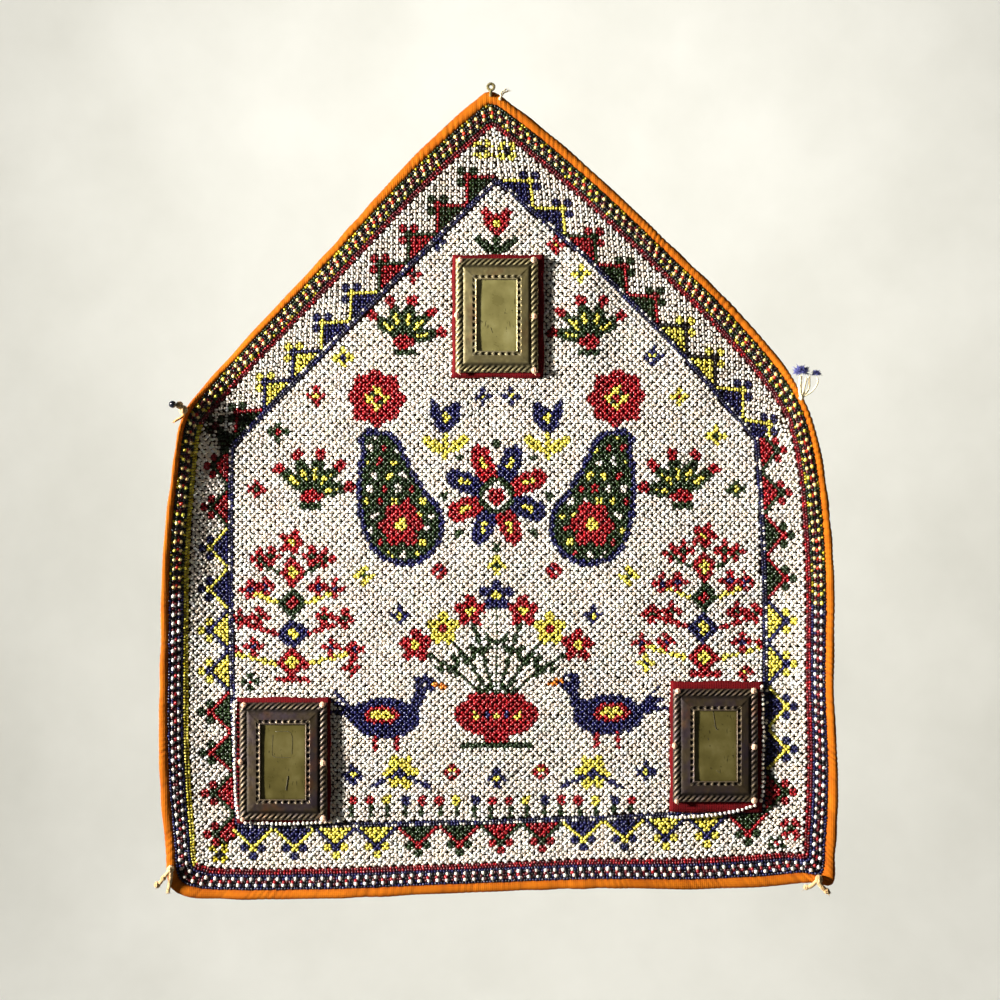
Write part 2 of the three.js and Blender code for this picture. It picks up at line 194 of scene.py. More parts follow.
def place_at(target, run, line):
    """The places that lie so far along a flat line."""
    return np.stack([np.interp(target, run, line[:, k]) for k in (0, 1)], -1)


def stacked(rows):
    """Rows of arrays as one array for each column."""
    return (np.concatenate(column) for column in zip(*rows))


# The cloth's outline, its folds and its rings.


def smooth_edge(steps=24):
    """The outer edge as a closed line, how far along its points are, and where each side starts."""
    rows = np.array([place for side in OUTLINE for place in side], float)
    made = []
    for i in range(len(rows)):
        before, here, after, beyond = (rows[(i + k) % len(rows)] for k in (-1, 0, 1, 2))
        gaps = (here - before, after - here, beyond - after)
        first, pace, last = (np.linalg.norm(gap) ** 0.5 for gap in gaps)
        leave = (here - before) / first - (after - before) / (first + pace) + (after - here) / pace
        reach = (after - here) / pace - (beyond - here) / (pace + last) + (beyond - after) / last
        leave, reach = leave * pace, reach * pace
        square = -3 * here + 3 * after - 2 * leave - reach
        cube = 2 * here - 2 * after + leave + reach
        for t in np.arange(steps) / steps:
            made.append(here + leave * t + square * t * t + cube * t**3)
    line = np.array(made + [made[0]])
    run = run_of(line)
    return line, run, run[np.cumsum([0] + [len(side) for side in OUTLINE]) * steps]


EDGE, EDGE_RUN, SIDE_STARTS = smooth_edge()


def run_at(side, share):
    """How far along the outer edge the places of a side are."""
    return SIDE_STARTS[side] + (SIDE_STARTS[side + 1] - SIDE_STARTS[side]) * share


def outer_at(side, share):
    """Places on the outer edge, by the share of a side that lies before them."""
    return place_at(run_at(side, share), EDGE_RUN, EDGE)


def side_frame(side):
    """The start of a border side, its direction, the direction outwards, and its length."""
    start, end = (np.array(BORDER_LINE[k % SIDES][:2], float) for k in (side, side + 1))
    along = unit(end - start)
    return start, along, np.array([-along[1], along[0]]), np.linalg.norm(end - start)


def bow_at(side, share):
    """How far a border side bows out."""
    return BORDER_LINE[side][2] * 4 * share * (1 - share)


def border_at(side, share):
    """Places on the border line, by the share of a side that lies before them."""
    start, along, outwards, length = side_frame(side)
    share = np.asarray(share, float)[..., None]
    return start + along * length * share + outwards * bow_at(side, share)


def binding_at(side, share):
    """How wide the binding shows."""
    here, after = BORDER_LINE[side][3], BORDER_LINE[(side + 1) % SIDES][3]
    return here + (after - here) * share


def band_at(side, share, cover=0.0, inset=0.0, shrink=1.0):
    """Places between the outer edge and the border line, or taken in towards the middle."""
    reach = (cover * binding_at(side, share) + inset) / BORDER_REACH
    reach = np.asarray(reach, float)[..., None]
    place = outer_at(side, share) * (1 - reach) + border_at(side, share) * reach
    return FIELD_MIDDLE + (place - FIELD_MIDDLE) * shrink


def ring(steps, **where):
    """Places all round the cloth, with the same number of steps on each side."""
    share = np.arange(steps) / steps
    return np.concatenate([band_at(side, share, **where) for side in range(SIDES)])


def frame_distance(x, z):
    """How far a place is from the nearest mirror frame."""
    nearest = np.full(np.shape(x), 1e3)
    for row in MIRRORS.values():
        past_x = np.maximum(np.abs(x - row[0]) - row[2] / 2, 0)
        past_z = np.maximum(np.abs(z - row[1]) - row[3] / 2, 0)
        nearest = np.minimum(nearest, np.hypot(past_x, past_z))
    return nearest


def plain_fold(x, z):
    """How far the folds alone bring the cloth forward."""
    total = np.zeros(np.shape(x))
    for middle_x, middle_z, wide, tall, forward in FOLDS:
        total = total + forward * np.exp(-(((x - middle_x) / wide) ** 2) - ((z - middle_z) / tall) ** 2)
    return total


def fold_at(x, z):
    """How far the cloth stands forward of the plane it hangs in."""
    small = np.zeros(np.shape(x))
    for across, up, forward, start in RIPPLES:
        small = small + forward * np.sin(x / across + start + 0.7 * np.sin(z / up)) * np.cos(z / up + start)
    calm = 1 - np.exp(-((frame_distance(x, z) / RIPPLE_CALM) ** 2))
    return plain_fold(x, z) + small * calm


def on_cloth(x, z, out):
    """Points that lie so far in front of the middle of the cloth."""
    x, z = np.asarray(x, float), np.asarray(z, float)
    return np.stack([x, LOOP_FRONT - fold_at(x, z) - out, z], -1)


def cloth_facing(x, z, step=0.5):
    """The direction in which the front of the cloth faces."""
    slope_x = (fold_at(x + step, z) - fold_at(x - step, z)) / (2 * step)
    slope_z = (fold_at(x, z + step) - fold_at(x, z - step)) / (2 * step)
    return unit(np.stack([-slope_x, -np.ones(np.shape(x)), -slope_z], -1))


# Meshes.


def new_object(name, points, groups, material, tint=None):
    """A mesh from points in millimetres and arrays of faces, with an optional colour a point."""
    mesh = bpy.data.meshes.new(name)
    corners = np.concatenate([np.asarray(group).ravel() for group in groups])
    totals = np.concatenate([np.full(len(group), np.shape(group)[1]) for group in groups])
    starts = np.concatenate([[0], np.cumsum(totals)[:-1]])
    mesh.vertices.add(len(points))
    mesh.vertices.foreach_set("co", (np.asarray(points) * MM).astype(np.float32).ravel())
    mesh.loops.add(len(corners))
    mesh.loops.foreach_set("vertex_index", corners.astype(np.int32))
    mesh.polygons.add(len(totals))
    mesh.polygons.foreach_set("loop_start", starts.astype(np.int32))
    mesh.polygons.foreach_set("use_smooth", np.ones(len(totals), bool))
    mesh.update(calc_edges=True)
    if tint is not None:
        layer = mesh.color_attributes.new(name="tint", type="FLOAT_COLOR", domain="POINT")
        full = np.concatenate([tint, np.ones((len(tint), 1))], 1)
        layer.data.foreach_set("color", full.astype(np.float32).ravel())
    mesh.materials.append(material)
    made = bpy.data.objects.new(name, mesh)
    bpy.context.scene.collection.objects.link(made)
    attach(made, "root")
    return made


def tube_faces(rings, count, closed=False):
    """Quads between rings of the same number of points, and fans for the ends of an open tube."""
    i = np.arange(count)
    j = (i + 1) % count
    near = np.arange(rings if closed else rings - 1)[:, None] * count
    far = (near + count) % (rings * count)
    groups = [np.stack([near + i, near + j, far + j, far + i], -1).reshape(-1, 4)]
    if not closed:
        end = rings * count
        tail = end - count
        groups.append(np.stack([np.full(count, end), j, i], -1))
        groups.append(np.stack([np.full(count, end + 1), tail + i, tail + j], -1))
    return groups


def outward(points, groups):
    """The same faces, turned where needed so that the closed mesh faces outwards."""
    volume = 0.0
    for group in groups:
        for k in range(1, group.shape[1] - 1):
            a, b, c = points[group[:, 0]], points[group[:, k]], points[group[:, k + 1]]
            volume += np.einsum("ij,ij->i", a, np.cross(b, c)).sum()
    return groups if volume > 0 else [group[:, ::-1] for group in groups]


def smooth_line(places, steps=8):
    """A soft line through places, as points close together."""
    rows = np.array(places, float)
    rows = np.concatenate([[2 * rows[0] - rows[1]], rows, [2 * rows[-1] - rows[-2]]])
    made = []
    for i in range(1, len(rows) - 2):
        before, here, after, beyond = rows[i - 1 : i + 3]
        square = 2 * before - 5 * here + 4 * after - beyond
        cube = -before + 3 * here - 3 * after + beyond
        for t in np.arange(steps) / steps:
            made.append(here + 0.5 * ((after - before) * t + square * t**2 + cube * t**3))
    return np.array(made + [rows[-2]])


def frames_along(line):
    """Two directions across a line at each of its points, turning as little as they can."""
    ahead = unit(np.gradient(line, axis=0))
    sides = [unit(np.cross(ahead[0], [0.3, 1.0, 0.2]))]
    for direction in ahead[1:]:
        sides.append(unit(sides[-1] - direction * np.dot(sides[-1], direction)))
    sides = np.array(sides)
    return sides, np.cross(ahead, sides)


def circle(count, first, second):
    """Directions all round, from two that are square to each other."""
    turns = np.arange(count) * 2 * math.pi / count
    return np.cos(turns)[None, :, None] * first[:, None] + np.sin(turns)[None, :, None] * second[:, None]


def tube(line, radius, count=7):
    """Points and faces of a round tube along a line. The radius may differ from place to place."""
    radius = np.broadcast_to(radius, len(line))
    rings = line[:, None] + circle(count, *frames_along(line)) * radius[:, None, None]
    points = np.concatenate([rings.reshape(-1, 3), [line[0]], [line[-1]]])
    return points, tube_faces(len(line), count)


def twisted(line, radius, plies=3, turn_length=4.2):
    """A cord of a few plies twisted round a line, as a list of tubes."""
    side, up = frames_along(line)
    run = run_of(line)
    taper = 1 - 0.25 * (run / run[-1]) ** 4
    made = []
    for ply in range(plies):
        angle = (run / turn_length + ply / plies) * 2 * math.pi
        path = line + (np.cos(angle)[:, None] * side + np.sin(angle)[:, None] * up) * radius * 0.48
        made.append(tube(path, radius * 0.6 * taper, 6))
    return made


def joined(parts):
    """Several lists of points and faces as one."""
    points, groups, base = [], [], 0
    for part_points, part_groups in parts:
        groups.extend(group + base for group in outward(part_points, part_groups))
        points.append(part_points)
        base += len(part_points)
    return np.concatenate(points), groups


def slab(front, back):
    """A closed sheet between two grids of points."""
    index = np.arange(front.shape[0] * front.shape[1]).reshape(front.shape[:2])
    face = np.stack([index[:-1, :-1], index[:-1, 1:], index[1:, 1:], index[1:, :-1]], -1).reshape(-1, 4)
    rim = np.concatenate([index[0, :-1], index[:-1, -1], index[-1, :0:-1], index[:0:-1, 0]])
    after = np.roll(rim, -1)
    wall = np.stack([rim, rim + index.size, after + index.size, after], -1)
    points = np.concatenate([front.reshape(-1, 3), back.reshape(-1, 3)])
    return points, outward(points, [face, face[:, ::-1] + index.size, wall])


def shares_over(wide, tall, columns, rows):
    """Shares across and up at a grid of places, and how far each is from the edge."""
    across, up = np.meshgrid(np.linspace(0, 1, columns), np.linspace(0, 1, rows))
    edge = np.minimum(np.minimum(across, 1 - across) * wide, np.minimum(up, 1 - up) * tall)
    return across, up, edge


# Beads.


def bead_points(centres, along, facing, radius, half, sides):
    """Points of beads: two rings of a short barrel and a tip at either end of each."""
    belly = centres[:, None] + circle(sides, facing, np.cross(facing, along)) * radius[:, None, None]
    reach = along * half[:, None]
    tips = np.stack([centres - reach, centres + reach], 1)
    rings = [belly - reach[:, None] * 0.5, belly + reach[:, None] * 0.5]
    return np.concatenate([*rings, tips], 1).reshape(-1, 3)


def bead_faces(number, sides):
    """Faces of beads: a barrel and a cone at either end."""
    i = np.arange(sides)
    j = (i + 1) % sides
    base = (np.arange(number) * (2 * sides + 2))[:, None, None]
    belly = np.stack([i, sides + i, sides + j, j], -1)[None]
    near = np.stack([np.full(sides, 2 * sides), i, j], -1)[None]
    far = np.stack([np.full(sides, 2 * sides + 1), sides + j, sides + i], -1)[None]
    return [(belly + base).reshape(-1, 4), np.concatenate([near + base, far + base], 1).reshape(-1, 3)]


def bead_tints(colours, spread=0.2):
    """Each bead's own tone: a little lighter, darker, warmer or cooler than its neighbours."""
    base = np.array([linear(colour) for colour in BEAD_COLOURS])[colours]
    tone = np.exp(chance.normal(0, spread, (len(colours), 1)) - 0.04)
    warm = chance.normal(0, 0.04, (len(colours), 1)) * np.array([[1.0, 0.1, -1.0]])
    return np.clip(base * tone * (1 + warm), 0.002, 0.93)


def add_beads(name, centres, along, facing, colours, sides, size):
    """Beads at their centres, each along its thread, with its own tilt and size."""
    number = len(centres)
    along = square_to(along, facing)
    tilt = chance.normal(0, 0.2, (number, 1)) * np.cross(facing, along)
    along = unit(along + tilt + facing * chance.normal(0, 0.16, (number, 1)))
    facing = square_to(facing, along)
    radius = np.broadcast_to(size[0], number) * np.exp(chance.normal(0, 0.05, number))
    half = np.broadcast_to(size[1], number) * np.exp(chance.normal(0, 0.07, number))
    points = bead_points(centres, along, facing, radius, half, sides)
    tint = np.repeat(bead_tints(colours), 2 * sides + 2, axis=0)
    return new_object(name, points, bead_faces(number, sides), GLASS_BEADS, tint)


# Materials.


class Nodes:
    """The nodes of one material, with short ways to add and join them."""

    def __init__(self, name):
        self.material = bpy.data.materials.new(name)
        self.material.use_nodes = True
        self.tree = self.material.node_tree
        self.shader = self.tree.nodes["Principled BSDF"]
        self.place = self.add("ShaderNodeTexCoord").outputs["Object"]

    def add(self, kind, **values):
        node = self.tree.nodes.new(kind)
        for key, value in values.items():
            setattr(node, key, value)
        return node

    def join(self, source, target):
        self.tree.links.new(source, target)

    def noise(self, scale, detail=3.0, roughness=0.6, stretch=None):
        node = self.add("ShaderNodeTexNoise")
        node.inputs["Scale"].default_value = scale
        node.inputs["Detail"].default_value = detail
        node.inputs["Roughness"].default_value = roughness
        self.join(self.stretched(stretch), node.inputs["Vector"])
        return node.outputs["Fac"]

    def stretched(self, stretch):
        if stretch is None:
            return self.place
        node = self.add("ShaderNodeMapping")
        node.inputs["Scale"].default_value = stretch
        self.join(self.place, node.inputs["Vector"])
        return node.outputs["Vector"]

    def waves(self, scale, direction, distortion=0.9):
        node = self.add("ShaderNodeTexWave", wave_type="BANDS", bands_direction=direction)
        node.inputs["Scale"].default_value = scale
        node.inputs["Distortion"].default_value = distortion
        node.inputs["Detail"].default_value = 1.0
        node.inputs["Detail Scale"].default_value = 1.5
        self.join(self.place, node.inputs["Vector"])
        return node.outputs["Fac"]

    def ramp(self, source, stops):
        node = self.add("ShaderNodeValToRGB")
        while len(node.color_ramp.elements) < len(stops):
            node.color_ramp.elements.new(0.5)
        for element, (position, colour) in zip(node.color_ramp.elements, stops):
            element.position = position
            element.color = (*linear(colour), 1)
        self.join(source, node.inputs["Fac"])
        return node.outputs["Color"]

    def range(self, source, low, high, from_low=0.0, from_high=1.0):
        node = self.add("ShaderNodeMapRange")
        node.inputs["From Min"].default_value = from_low
        node.inputs["From Max"].default_value = from_high
        node.inputs["To Min"].default_value = low
        node.inputs["To Max"].default_value = high
        self.join(source, node.inputs["Value"])
        return node.outputs["Result"]

    def maths(self, operation, first, second):
        node = self.add("ShaderNodeMath", operation=operation)
        for socket, value in zip(node.inputs, (first, second)):
            if isinstance(value, (int, float)):
                socket.default_value = value
            else:
                self.join(value, socket)
        return node.outputs["Value"]

    def mix(self, first, second, share, blend="MIX"):
        node = self.add("ShaderNodeMix", data_type="RGBA", blend_type=blend)
        for number, value in ((0, share), (6, first), (7, second)):
            socket = node.inputs[number]
            if isinstance(value, (int, float)):
                socket.default_value = value
            elif isinstance(value, tuple):
                socket.default_value = (*linear(value), 1)
            else:
                self.join(value, socket)
        return node.outputs[2]

    def bump(self, height, distance, strength=1.0):
        node = self.add("ShaderNodeBump")
        node.inputs["Distance"].default_value = distance * MM
        node.inputs["Strength"].default_value = strength
        self.join(height, node.inputs["Height"])
        self.join(node.outputs["Normal"], self.shader.inputs["Normal"])

    def tint(self):
        """The colour that the points carry."""
        return self.add("ShaderNodeAttribute", attribute_name="tint").outputs["Color"]

    def marks(self):
        """The red and the green share of the colour that the points carry."""
        split = self.add("ShaderNodeSeparateColor")
        self.join(self.tint(), split.inputs["Color"])
        return split.outputs["Red"], split.outputs["Green"]

    def colour(self, source):
        self.join(source, self.shader.inputs["Base Color"])

    def rough(self, source):
        self.join(source, self.shader.inputs["Roughness"])

    def set(self, **values):
        for key, value in values.items():
            self.shader.inputs[key.replace("_", " ")].default_value = value


def bead_glass():
    """Seed bead glass in each bead's own colour, with patches of old grime."""
    nodes = Nodes("seed_bead_glass")
    darkening = nodes.range(nodes.noise(46, 4), 0.0, 0.34, 0.46, 0.78)
    nodes.colour(nodes.mix(nodes.tint(), (92, 72, 52), darkening, "MULTIPLY"))
    nodes.rough(nodes.range(nodes.noise(700, 2), 0.16, 0.42))
    nodes.set(IOR=1.5, Specular_IOR_Level=0.6)
    return nodes.material


def dark_glass():
    nodes = Nodes("dark_bead_glass")
    nodes.colour(nodes.ramp(nodes.noise(300, 3), [(0.35, (10, 12, 20)), (0.7, (26, 30, 44))]))
    nodes.rough(nodes.range(nodes.noise(900, 2), 0.1, 0.26))
    nodes.set(IOR=1.5, Specular_IOR_Level=0.7)
    return nodes.material


# What the wave texture's scale is divided by, so that a thread's width sets its bands.
BAND_RATE = 6.3
# The dark orange-brown of the binding's painted shade.
BINDING_PAINTED_SHADE = (96, 42, 4)


def woven(name, dark, middle, light, thread=0.55, rough=0.9, relief=0.16, painted_light=False):
    """Plain-woven cloth: two crossed sets of threads, with slubs and uneven dye, and optionally painted
    shade in its folds and a painted highlight on its crest.
    """
    nodes = Nodes(name)
    scale = 1 / (thread * 2 * MM) / BAND_RATE
    weave = nodes.maths("MULTIPLY", nodes.waves(scale, "Z"), nodes.waves(scale, "X"))
    uneven = nodes.noise(60, 5, 0.65)
    slub = nodes.noise(240, 3, 0.6, (1, 1, 0.16))
    shade = nodes.maths("ADD", nodes.maths("MULTIPLY", uneven, 0.7), nodes.maths("MULTIPLY", slub, 0.3))
    base = nodes.ramp(shade, [(0.3, dark), (0.5, middle), (0.72, light)])
    colour = nodes.mix(base, dark, nodes.range(weave, 0.34, 0.0))
    if painted_light:
        # The points carry painted shade in the folds and a painted highlight on the crest.
        darkening, painted_highlight = nodes.marks()
        colour = nodes.mix(nodes.mix(colour, light, painted_highlight), BINDING_PAINTED_SHADE, darkening)
    nodes.colour(colour)
    nodes.rough(nodes.range(slub, rough - 0.1, rough + 0.06))
    nodes.bump(nodes.maths("ADD", weave, nodes.maths("MULTIPLY", slub, 0.6)), relief)
    nodes.set(Specular_IOR_Level=0.12)
    return nodes.material


def aged_metal(name, base, dull, bright, darkening):
    """Stamped sheet metal with patches of patina: lighter on its ridges from wear and a painted highlight,
    darker in its hollows from grime and painted shade.
    """
    nodes = Nodes(name)
    # The points carry wear with a painted highlight, and grime with painted shade.
    wear_and_highlight, dirt_and_shade = nodes.marks()
    patches = nodes.noise(95, 5, 0.6)
    stains = nodes.noise(420, 4, 0.7)
    colour = nodes.mix(base, dull, nodes.range(patches, 0.0, 1.0, 0.38, 0.62))
    colour = nodes.mix(colour, bright, nodes.maths("MULTIPLY", wear_and_highlight, nodes.range(stains, 0.35, 1.0)))
    rust = nodes.range(nodes.noise(55, 4, 0.6), 0.0, 0.55, 0.56, 0.72)
    colour = nodes.mix(colour, (118, 74, 44), rust)
    nodes.colour(nodes.mix(colour, darkening, dirt_and_shade))
    nodes.rough(nodes.range(stains, 0.34, 0.62, 0.3, 0.7))
    nodes.bump(nodes.maths("ADD", stains, patches), 0.14)
    nodes.set(Metallic=0.72)
    return nodes.material


def old_mirror(name, tones):
    """Old mirror plate: clouded silver under glass, with dark specks and scratches."""
    nodes = Nodes(name)
    cloud = nodes.noise(70, 4, 0.55)
    speck = nodes.noise(520, 3, 0.5)
    scratch = nodes.noise(210, 2, 0.4, (3.2, 1, 0.55))
    colour = nodes.ramp(cloud, list(zip((0.3, 0.52, 0.75), tones)))
    colour = nodes.mix(colour, (40, 34, 14), nodes.range(speck, 0.0, 0.9, 0.68, 0.74))
    colour = nodes.mix(colour, (46, 40, 16), nodes.range(scratch, 0.0, 0.85, 0.69, 0.72))
    nodes.colour(colour)
    nodes.rough(nodes.range(cloud, 0.2, 0.42))
    nodes.bump(nodes.noise(38, 2), 0.3, 0.4)
    nodes.set(Metallic=0.35, Coat_Weight=0.35, Coat_Roughness=0.1)
    return nodes.material


def spun(name, dark, light, rough=0.85):
    """Twisted cotton or wool: fine fibres along the strand and uneven colour."""
    nodes = Nodes(name)
    fibre = nodes.noise(1500, 3, 0.6)
    uneven = nodes.noise(260, 3, 0.6)
    shade = nodes.maths("ADD", nodes.maths("MULTIPLY", fibre, 0.5), nodes.maths("MULTIPLY", uneven, 0.5))
    nodes.colour(nodes.ramp(shade, [(0.36, dark), (0.62, light)]))
    nodes.rough(nodes.range(fibre, rough - 0.1, rough + 0.1))
    nodes.bump(fibre, 0.12)
    nodes.set(Specular_IOR_Level=0.2, Sheen_Weight=0.25)
    return nodes.material


GLASS_BEADS = bead_glass()
DARK_GLASS = dark_glass()
GROUND_COTTON = woven("ground_cotton", (36, 24, 16), (58, 40, 28), (78, 56, 38), 0.5)
BINDING_COTTON = woven(
    "binding_cotton", (152, 66, 4), (184, 92, 6), (206, 119, 18), 0.34, 0.85, 0.12, True
)
PAD_COTTON = woven("pad_cloth", (60, 3, 6), (98, 4, 11), (118, 9, 17), 0.4, 0.85)
# The last two colours: rubbed metal with painted highlight, and grime with painted shade.
DARK_METAL = aged_metal("dark_brass", (76, 64, 46), (66, 54, 60), (206, 186, 148), (17, 13, 9))
LIGHT_METAL = aged_metal("light_brass", (138, 126, 84), (121, 112, 78), (240, 226, 186), (26, 21, 12))
DARK_MIRROR = old_mirror("aged_mirror_dark", ((80, 73, 34), (97, 89, 46), (116, 108, 65)))
LIGHT_MIRROR = old_mirror("aged_mirror_light", ((118, 111, 64), (140, 133, 82), (162, 156, 108)))
TAN_THREAD = spun("tan_thread", (150, 116, 70), (222, 190, 140))
OLIVE_THREAD = spun("olive_thread", (70, 62, 30), (150, 136, 84))
CREAM_THREAD = spun("cream_thread", (206, 184, 132), (248, 236, 208))
BLUE_YARN = spun("blue_yarn", (38, 40, 96), (96, 100, 168), 0.95)
ORANGE_THREAD = spun("orange_thread", (180, 100, 30), (236, 170, 90))
COPPER_THREAD = spun("copper_thread", (186, 128, 96), (246, 208, 176), 0.5)
SCRATCH_STAIN = spun("scratch_stain", (34, 28, 10), (66, 58, 24), 0.6)


# The ground cloth, the binding and the pads.


def add_ground(steps=46):
    """The ground cloth, in rings from the slot of the binding to the middle, front and back."""
    sections = [
        {"cover": SLOT_COVER, "inset": GAP},
        {"cover": 0.7, "inset": 0},
        {"cover": 1, "inset": 0},
        {"cover": 1, "inset": 4},
        {"cover": 1, "inset": 9},
        {"cover": 1, "inset": RIM_WIDTH},
        {"cover": 0.6, "inset": 24},
        {"cover": 0.4, "inset": 32},
        {"inset": BORDER_REACH - 6},
        {"inset": BORDER_REACH},
    ]
    for shrink in (0.93, 0.85, 0.75, 0.65, 0.55, 0.44, 0.33, 0.22, 0.11):
        sections.append({"inset": BORDER_REACH, "shrink": shrink})
    rings = [ring(steps, **section) for section in sections]
    front, back = ([on_cloth(r[:, 0], r[:, 1], out) for r in rings] for out in (GROUND_HALF, -GROUND_HALF))
    middle = [on_cloth(*FIELD_MIDDLE, GROUND_HALF), on_cloth(*FIELD_MIDDLE, -GROUND_HALF)]
    points = np.concatenate([*front[::-1], *back, middle])
    groups = outward(points, tube_faces(2 * len(rings), steps * SIDES))
    return new_object("ground_cotton_cloth", points, groups, GROUND_COTTON)


# The binding cut across, from the slot over the front and the edge to the back: the share of
# its width, and how far off the middle of the cloth.
BINDING_SECTION = [
    (0.6, 0.9), (1.0, 0.9), (1.07, 1.5), (1.02, 2.1), (0.9, 2.6), (0.72, 2.8), (0.5, 2.8),
    (0.3, 2.6), (0.12, 2.1), (0.03, 1.1), (0.01, -0.2), (0.06, -1.3), (0.3, -2.0), (0.7, -2.25),
    (1.0, -1.5), (1.0, -0.9), (0.4, -0.9),
]
# What lies no further out than this is in the slot or behind the edge, and isn't puckered.
SLOT_OUT = 0.9
# How deep the puckers are at the corners that start the five sides, and their length.
PUCKERS = [0.55, 0.9, 0.5, 0.4, 0.28]
PUCKER_LENGTH = 4.3
# How much the puckers and the wider creases push its edge out and lift its front.
PUCKER_BULGE = 0.7
CREASE_BULGE = 0.3
CREASE_LIFT = 0.22
FINE_LIFT = 0.14


def pucker_at(side, share, along):
    """How full the binding is between its stitches, from 0 to 1, and how strongly it shows."""
    strength = PUCKERS[side] + (PUCKERS[(side + 1) % SIDES] - PUCKERS[side]) * share
    strength = strength * (0.62 + 0.38 * np.sin(along / 19.0 + 1.3 * side) * np.sin(along / 7.3))
    wander = 0.9 * np.sin(along / 23.0) + 0.6 * np.sin(along / 11.1 + 1.0)
    return np.abs(np.sin(math.pi * (along / PUCKER_LENGTH + wander))) ** 0.8, strength


def add_binding():
    steps = 380
    share = np.arange(steps) / steps
    rows, tints = [], []
    for side in range(SIDES):
        edge = outer_at(side, share)
        along = run_at(side, share)
        full, strength = pucker_at(side, share, along)
        crease = np.sin(along / 5.3 + 2.2 * np.sin(along / 31.0)) * np.sin(along / 37.0 + side)
        fine = np.maximum(np.sin(along / 3.7 + 3.0 * np.sin(along / 29.0 + side)), 0) ** 10
        across = unit(edge - band_at(side, share, cover=1))
        bulge = PUCKER_BULGE * (full - 0.6) * strength + CREASE_BULGE * crease
        for cover, out in BINDING_SECTION:
            front = out > SLOT_OUT
            place = band_at(side, share, cover=cover)
            if cover > 0.8 and front:
                place = place + unit(edge - place) * ((1 - full) * strength)[:, None]
            place = place + across * (bulge * max(0.4 - cover, 0) / 0.4)[:, None]
            lift, darkening, painted_highlight = 0.0, np.full(steps, 0.1), np.zeros(steps)
            if front:
                middle = math.sin(math.pi * min(cover, 0.95))
                lift = (0.4 + 0.42 * min(cover, 1)) * (full - 0.7) * strength
                lift = lift - FINE_LIFT * fine + CREASE_LIFT * crease * middle
                # Painted shade in the pucker valleys, the fine creases, along the inner edge and at the
                # outer turn.
                darkening = 0.62 * (1 - full) ** 2 * strength + 0.22 * fine + 0.35 * max(cover - 0.8, 0) * 5
                darkening = darkening + 0.45 * max(0.45 - cover, 0) / 0.45
                # Painted highlight along the middle of the roll's front, strongest where it puffs out.
                painted_highlight = (0.35 + 0.4 * full * strength) * middle
            rows.append(on_cloth(place[:, 0], place[:, 1], out + lift))
            tints.append(np.stack([np.clip(darkening, 0, 0.8), np.clip(painted_highlight, 0, 1), np.zeros(steps)], 1))
    count = len(BINDING_SECTION)
    shape = (SIDES, count, steps, 3)
    grid, tint = (np.array(a).reshape(shape).transpose(0, 2, 1, 3).reshape(-1, 3) for a in (rows, tints))
    groups = outward(grid, tube_faces(SIDES * steps, count, closed=True))
    return new_object("binding_roll", grid, groups, BINDING_COTTON, tint)


def rectangle_box(row, margins=False):
    """The left, right, upper and lower edge of a frame, or of the pad under it."""
    x, z, wide, tall, left, right, above, below = row
    if not margins:
        left = right = above = below = 0
    return x - wide / 2 - left, x + wide / 2 + right, z + tall / 2 + above, z - tall / 2 - below


def add_pad(name):
    """A red cloth pad, a little puffed, with an edge that isn't quite straight."""
    left, right, top, foot = rectangle_box(MIRRORS[name], margins=True)
    u, v, edge = shares_over(right - left, top - foot, 23, 29)
    x = left + (right - left) * u
    z = foot + (top - foot) * v
    x = x + 0.35 * np.sin(z / 5.0 + left) * (2 * np.abs(u - 0.5)) ** 6
    z = z + 0.35 * np.sin(x / 6.0 + foot) * (2 * np.abs(v - 0.5)) ** 6
    swell = 0.45 * (1 - np.exp(-edge / 0.9)) + 0.12 * np.sin(x / 4.0) * np.sin(z / 5.0) * np.exp(-edge / 3)
    points, groups = slab(on_cloth(x, z, PAD_FRONT - 0.5 + swell), on_cloth(x, z, PAD_BACK))
    made = new_object(f"pad_cloth_{name}", points, groups, PAD_COTTON)
    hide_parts(f"pad_{name}")


# The stamped frames. Cut across, from the outer edge to the opening and back underneath:
# inset from the outer edge, and rise off the pad.
FRAME_SECTION = [
    (0.0, 0.0), (0.1, 0.9), (0.45, 1.7), (1.0, 2.2), (1.6, 2.55), (2.2, 2.75), (2.8, 2.8),
    (3.4, 2.75), (4.0, 2.6), (4.6, 2.35), (5.1, 2.2), (5.5, 2.7), (7.2, 2.9), (9.3, 3.15),
    (10.6, 3.3), (11.1, 3.35), (11.4, 3.4), (11.6, 3.4), (13.2, 3.4), (13.4, 3.4), (13.9, 3.6),
    (14.3, 3.5), (14.3, 2.9), (12.2, 2.6), (5.6, 1.3), (2.6, 1.7), (1.1, 0.8), (0.8, 0.0),
]
TWIST_PITCH = 3.9
TWIST_SLANT = 1.15
TWIST_WIDTH = 5.0
DOT_PITCH = 4.27
DOT_INSET = 12.3
# How many points a line has along a level side and along an upright one.
FRAME_STEPS = (74, 100)


def frame_plane(row):
    """How far forward the back of a flat frame lies: it rests on the highest part of its rim."""
    left, right, top, foot = rectangle_box(row)
    across, up = np.linspace(left, right, 5), np.linspace(foot, top, 5)
    rim_x = np.concatenate([across, across, [left] * 5, [right] * 5])
    rim_z = np.concatenate([[top] * 5, [foot] * 5, up, up])
    return max(np.max(plain_fold(rim_x, rim_z)), plain_fold(row[0], row[1])) + FRAME_BACK


def twisted_edge(run, side, inset):
    """The slanted ridges of a frame's edge: their lift, wear and a painted highlight on them, and grime and
    painted shade between them.
    """
    slant = TWIST_SLANT * (inset if side < 2 else -inset)
    ridge = 0.5 + 0.5 * np.sin(2 * math.pi * (run + slant) / TWIST_PITCH)
    weight = math.sin(math.pi * inset / TWIST_WIDTH) ** 0.5
    lift = (ridge**1.2 - 0.55) * weight
    return lift, np.clip(ridge - 0.84, 0, 1) * 3.2 * weight, np.clip(0.74 - ridge, 0, 1) * 1.35


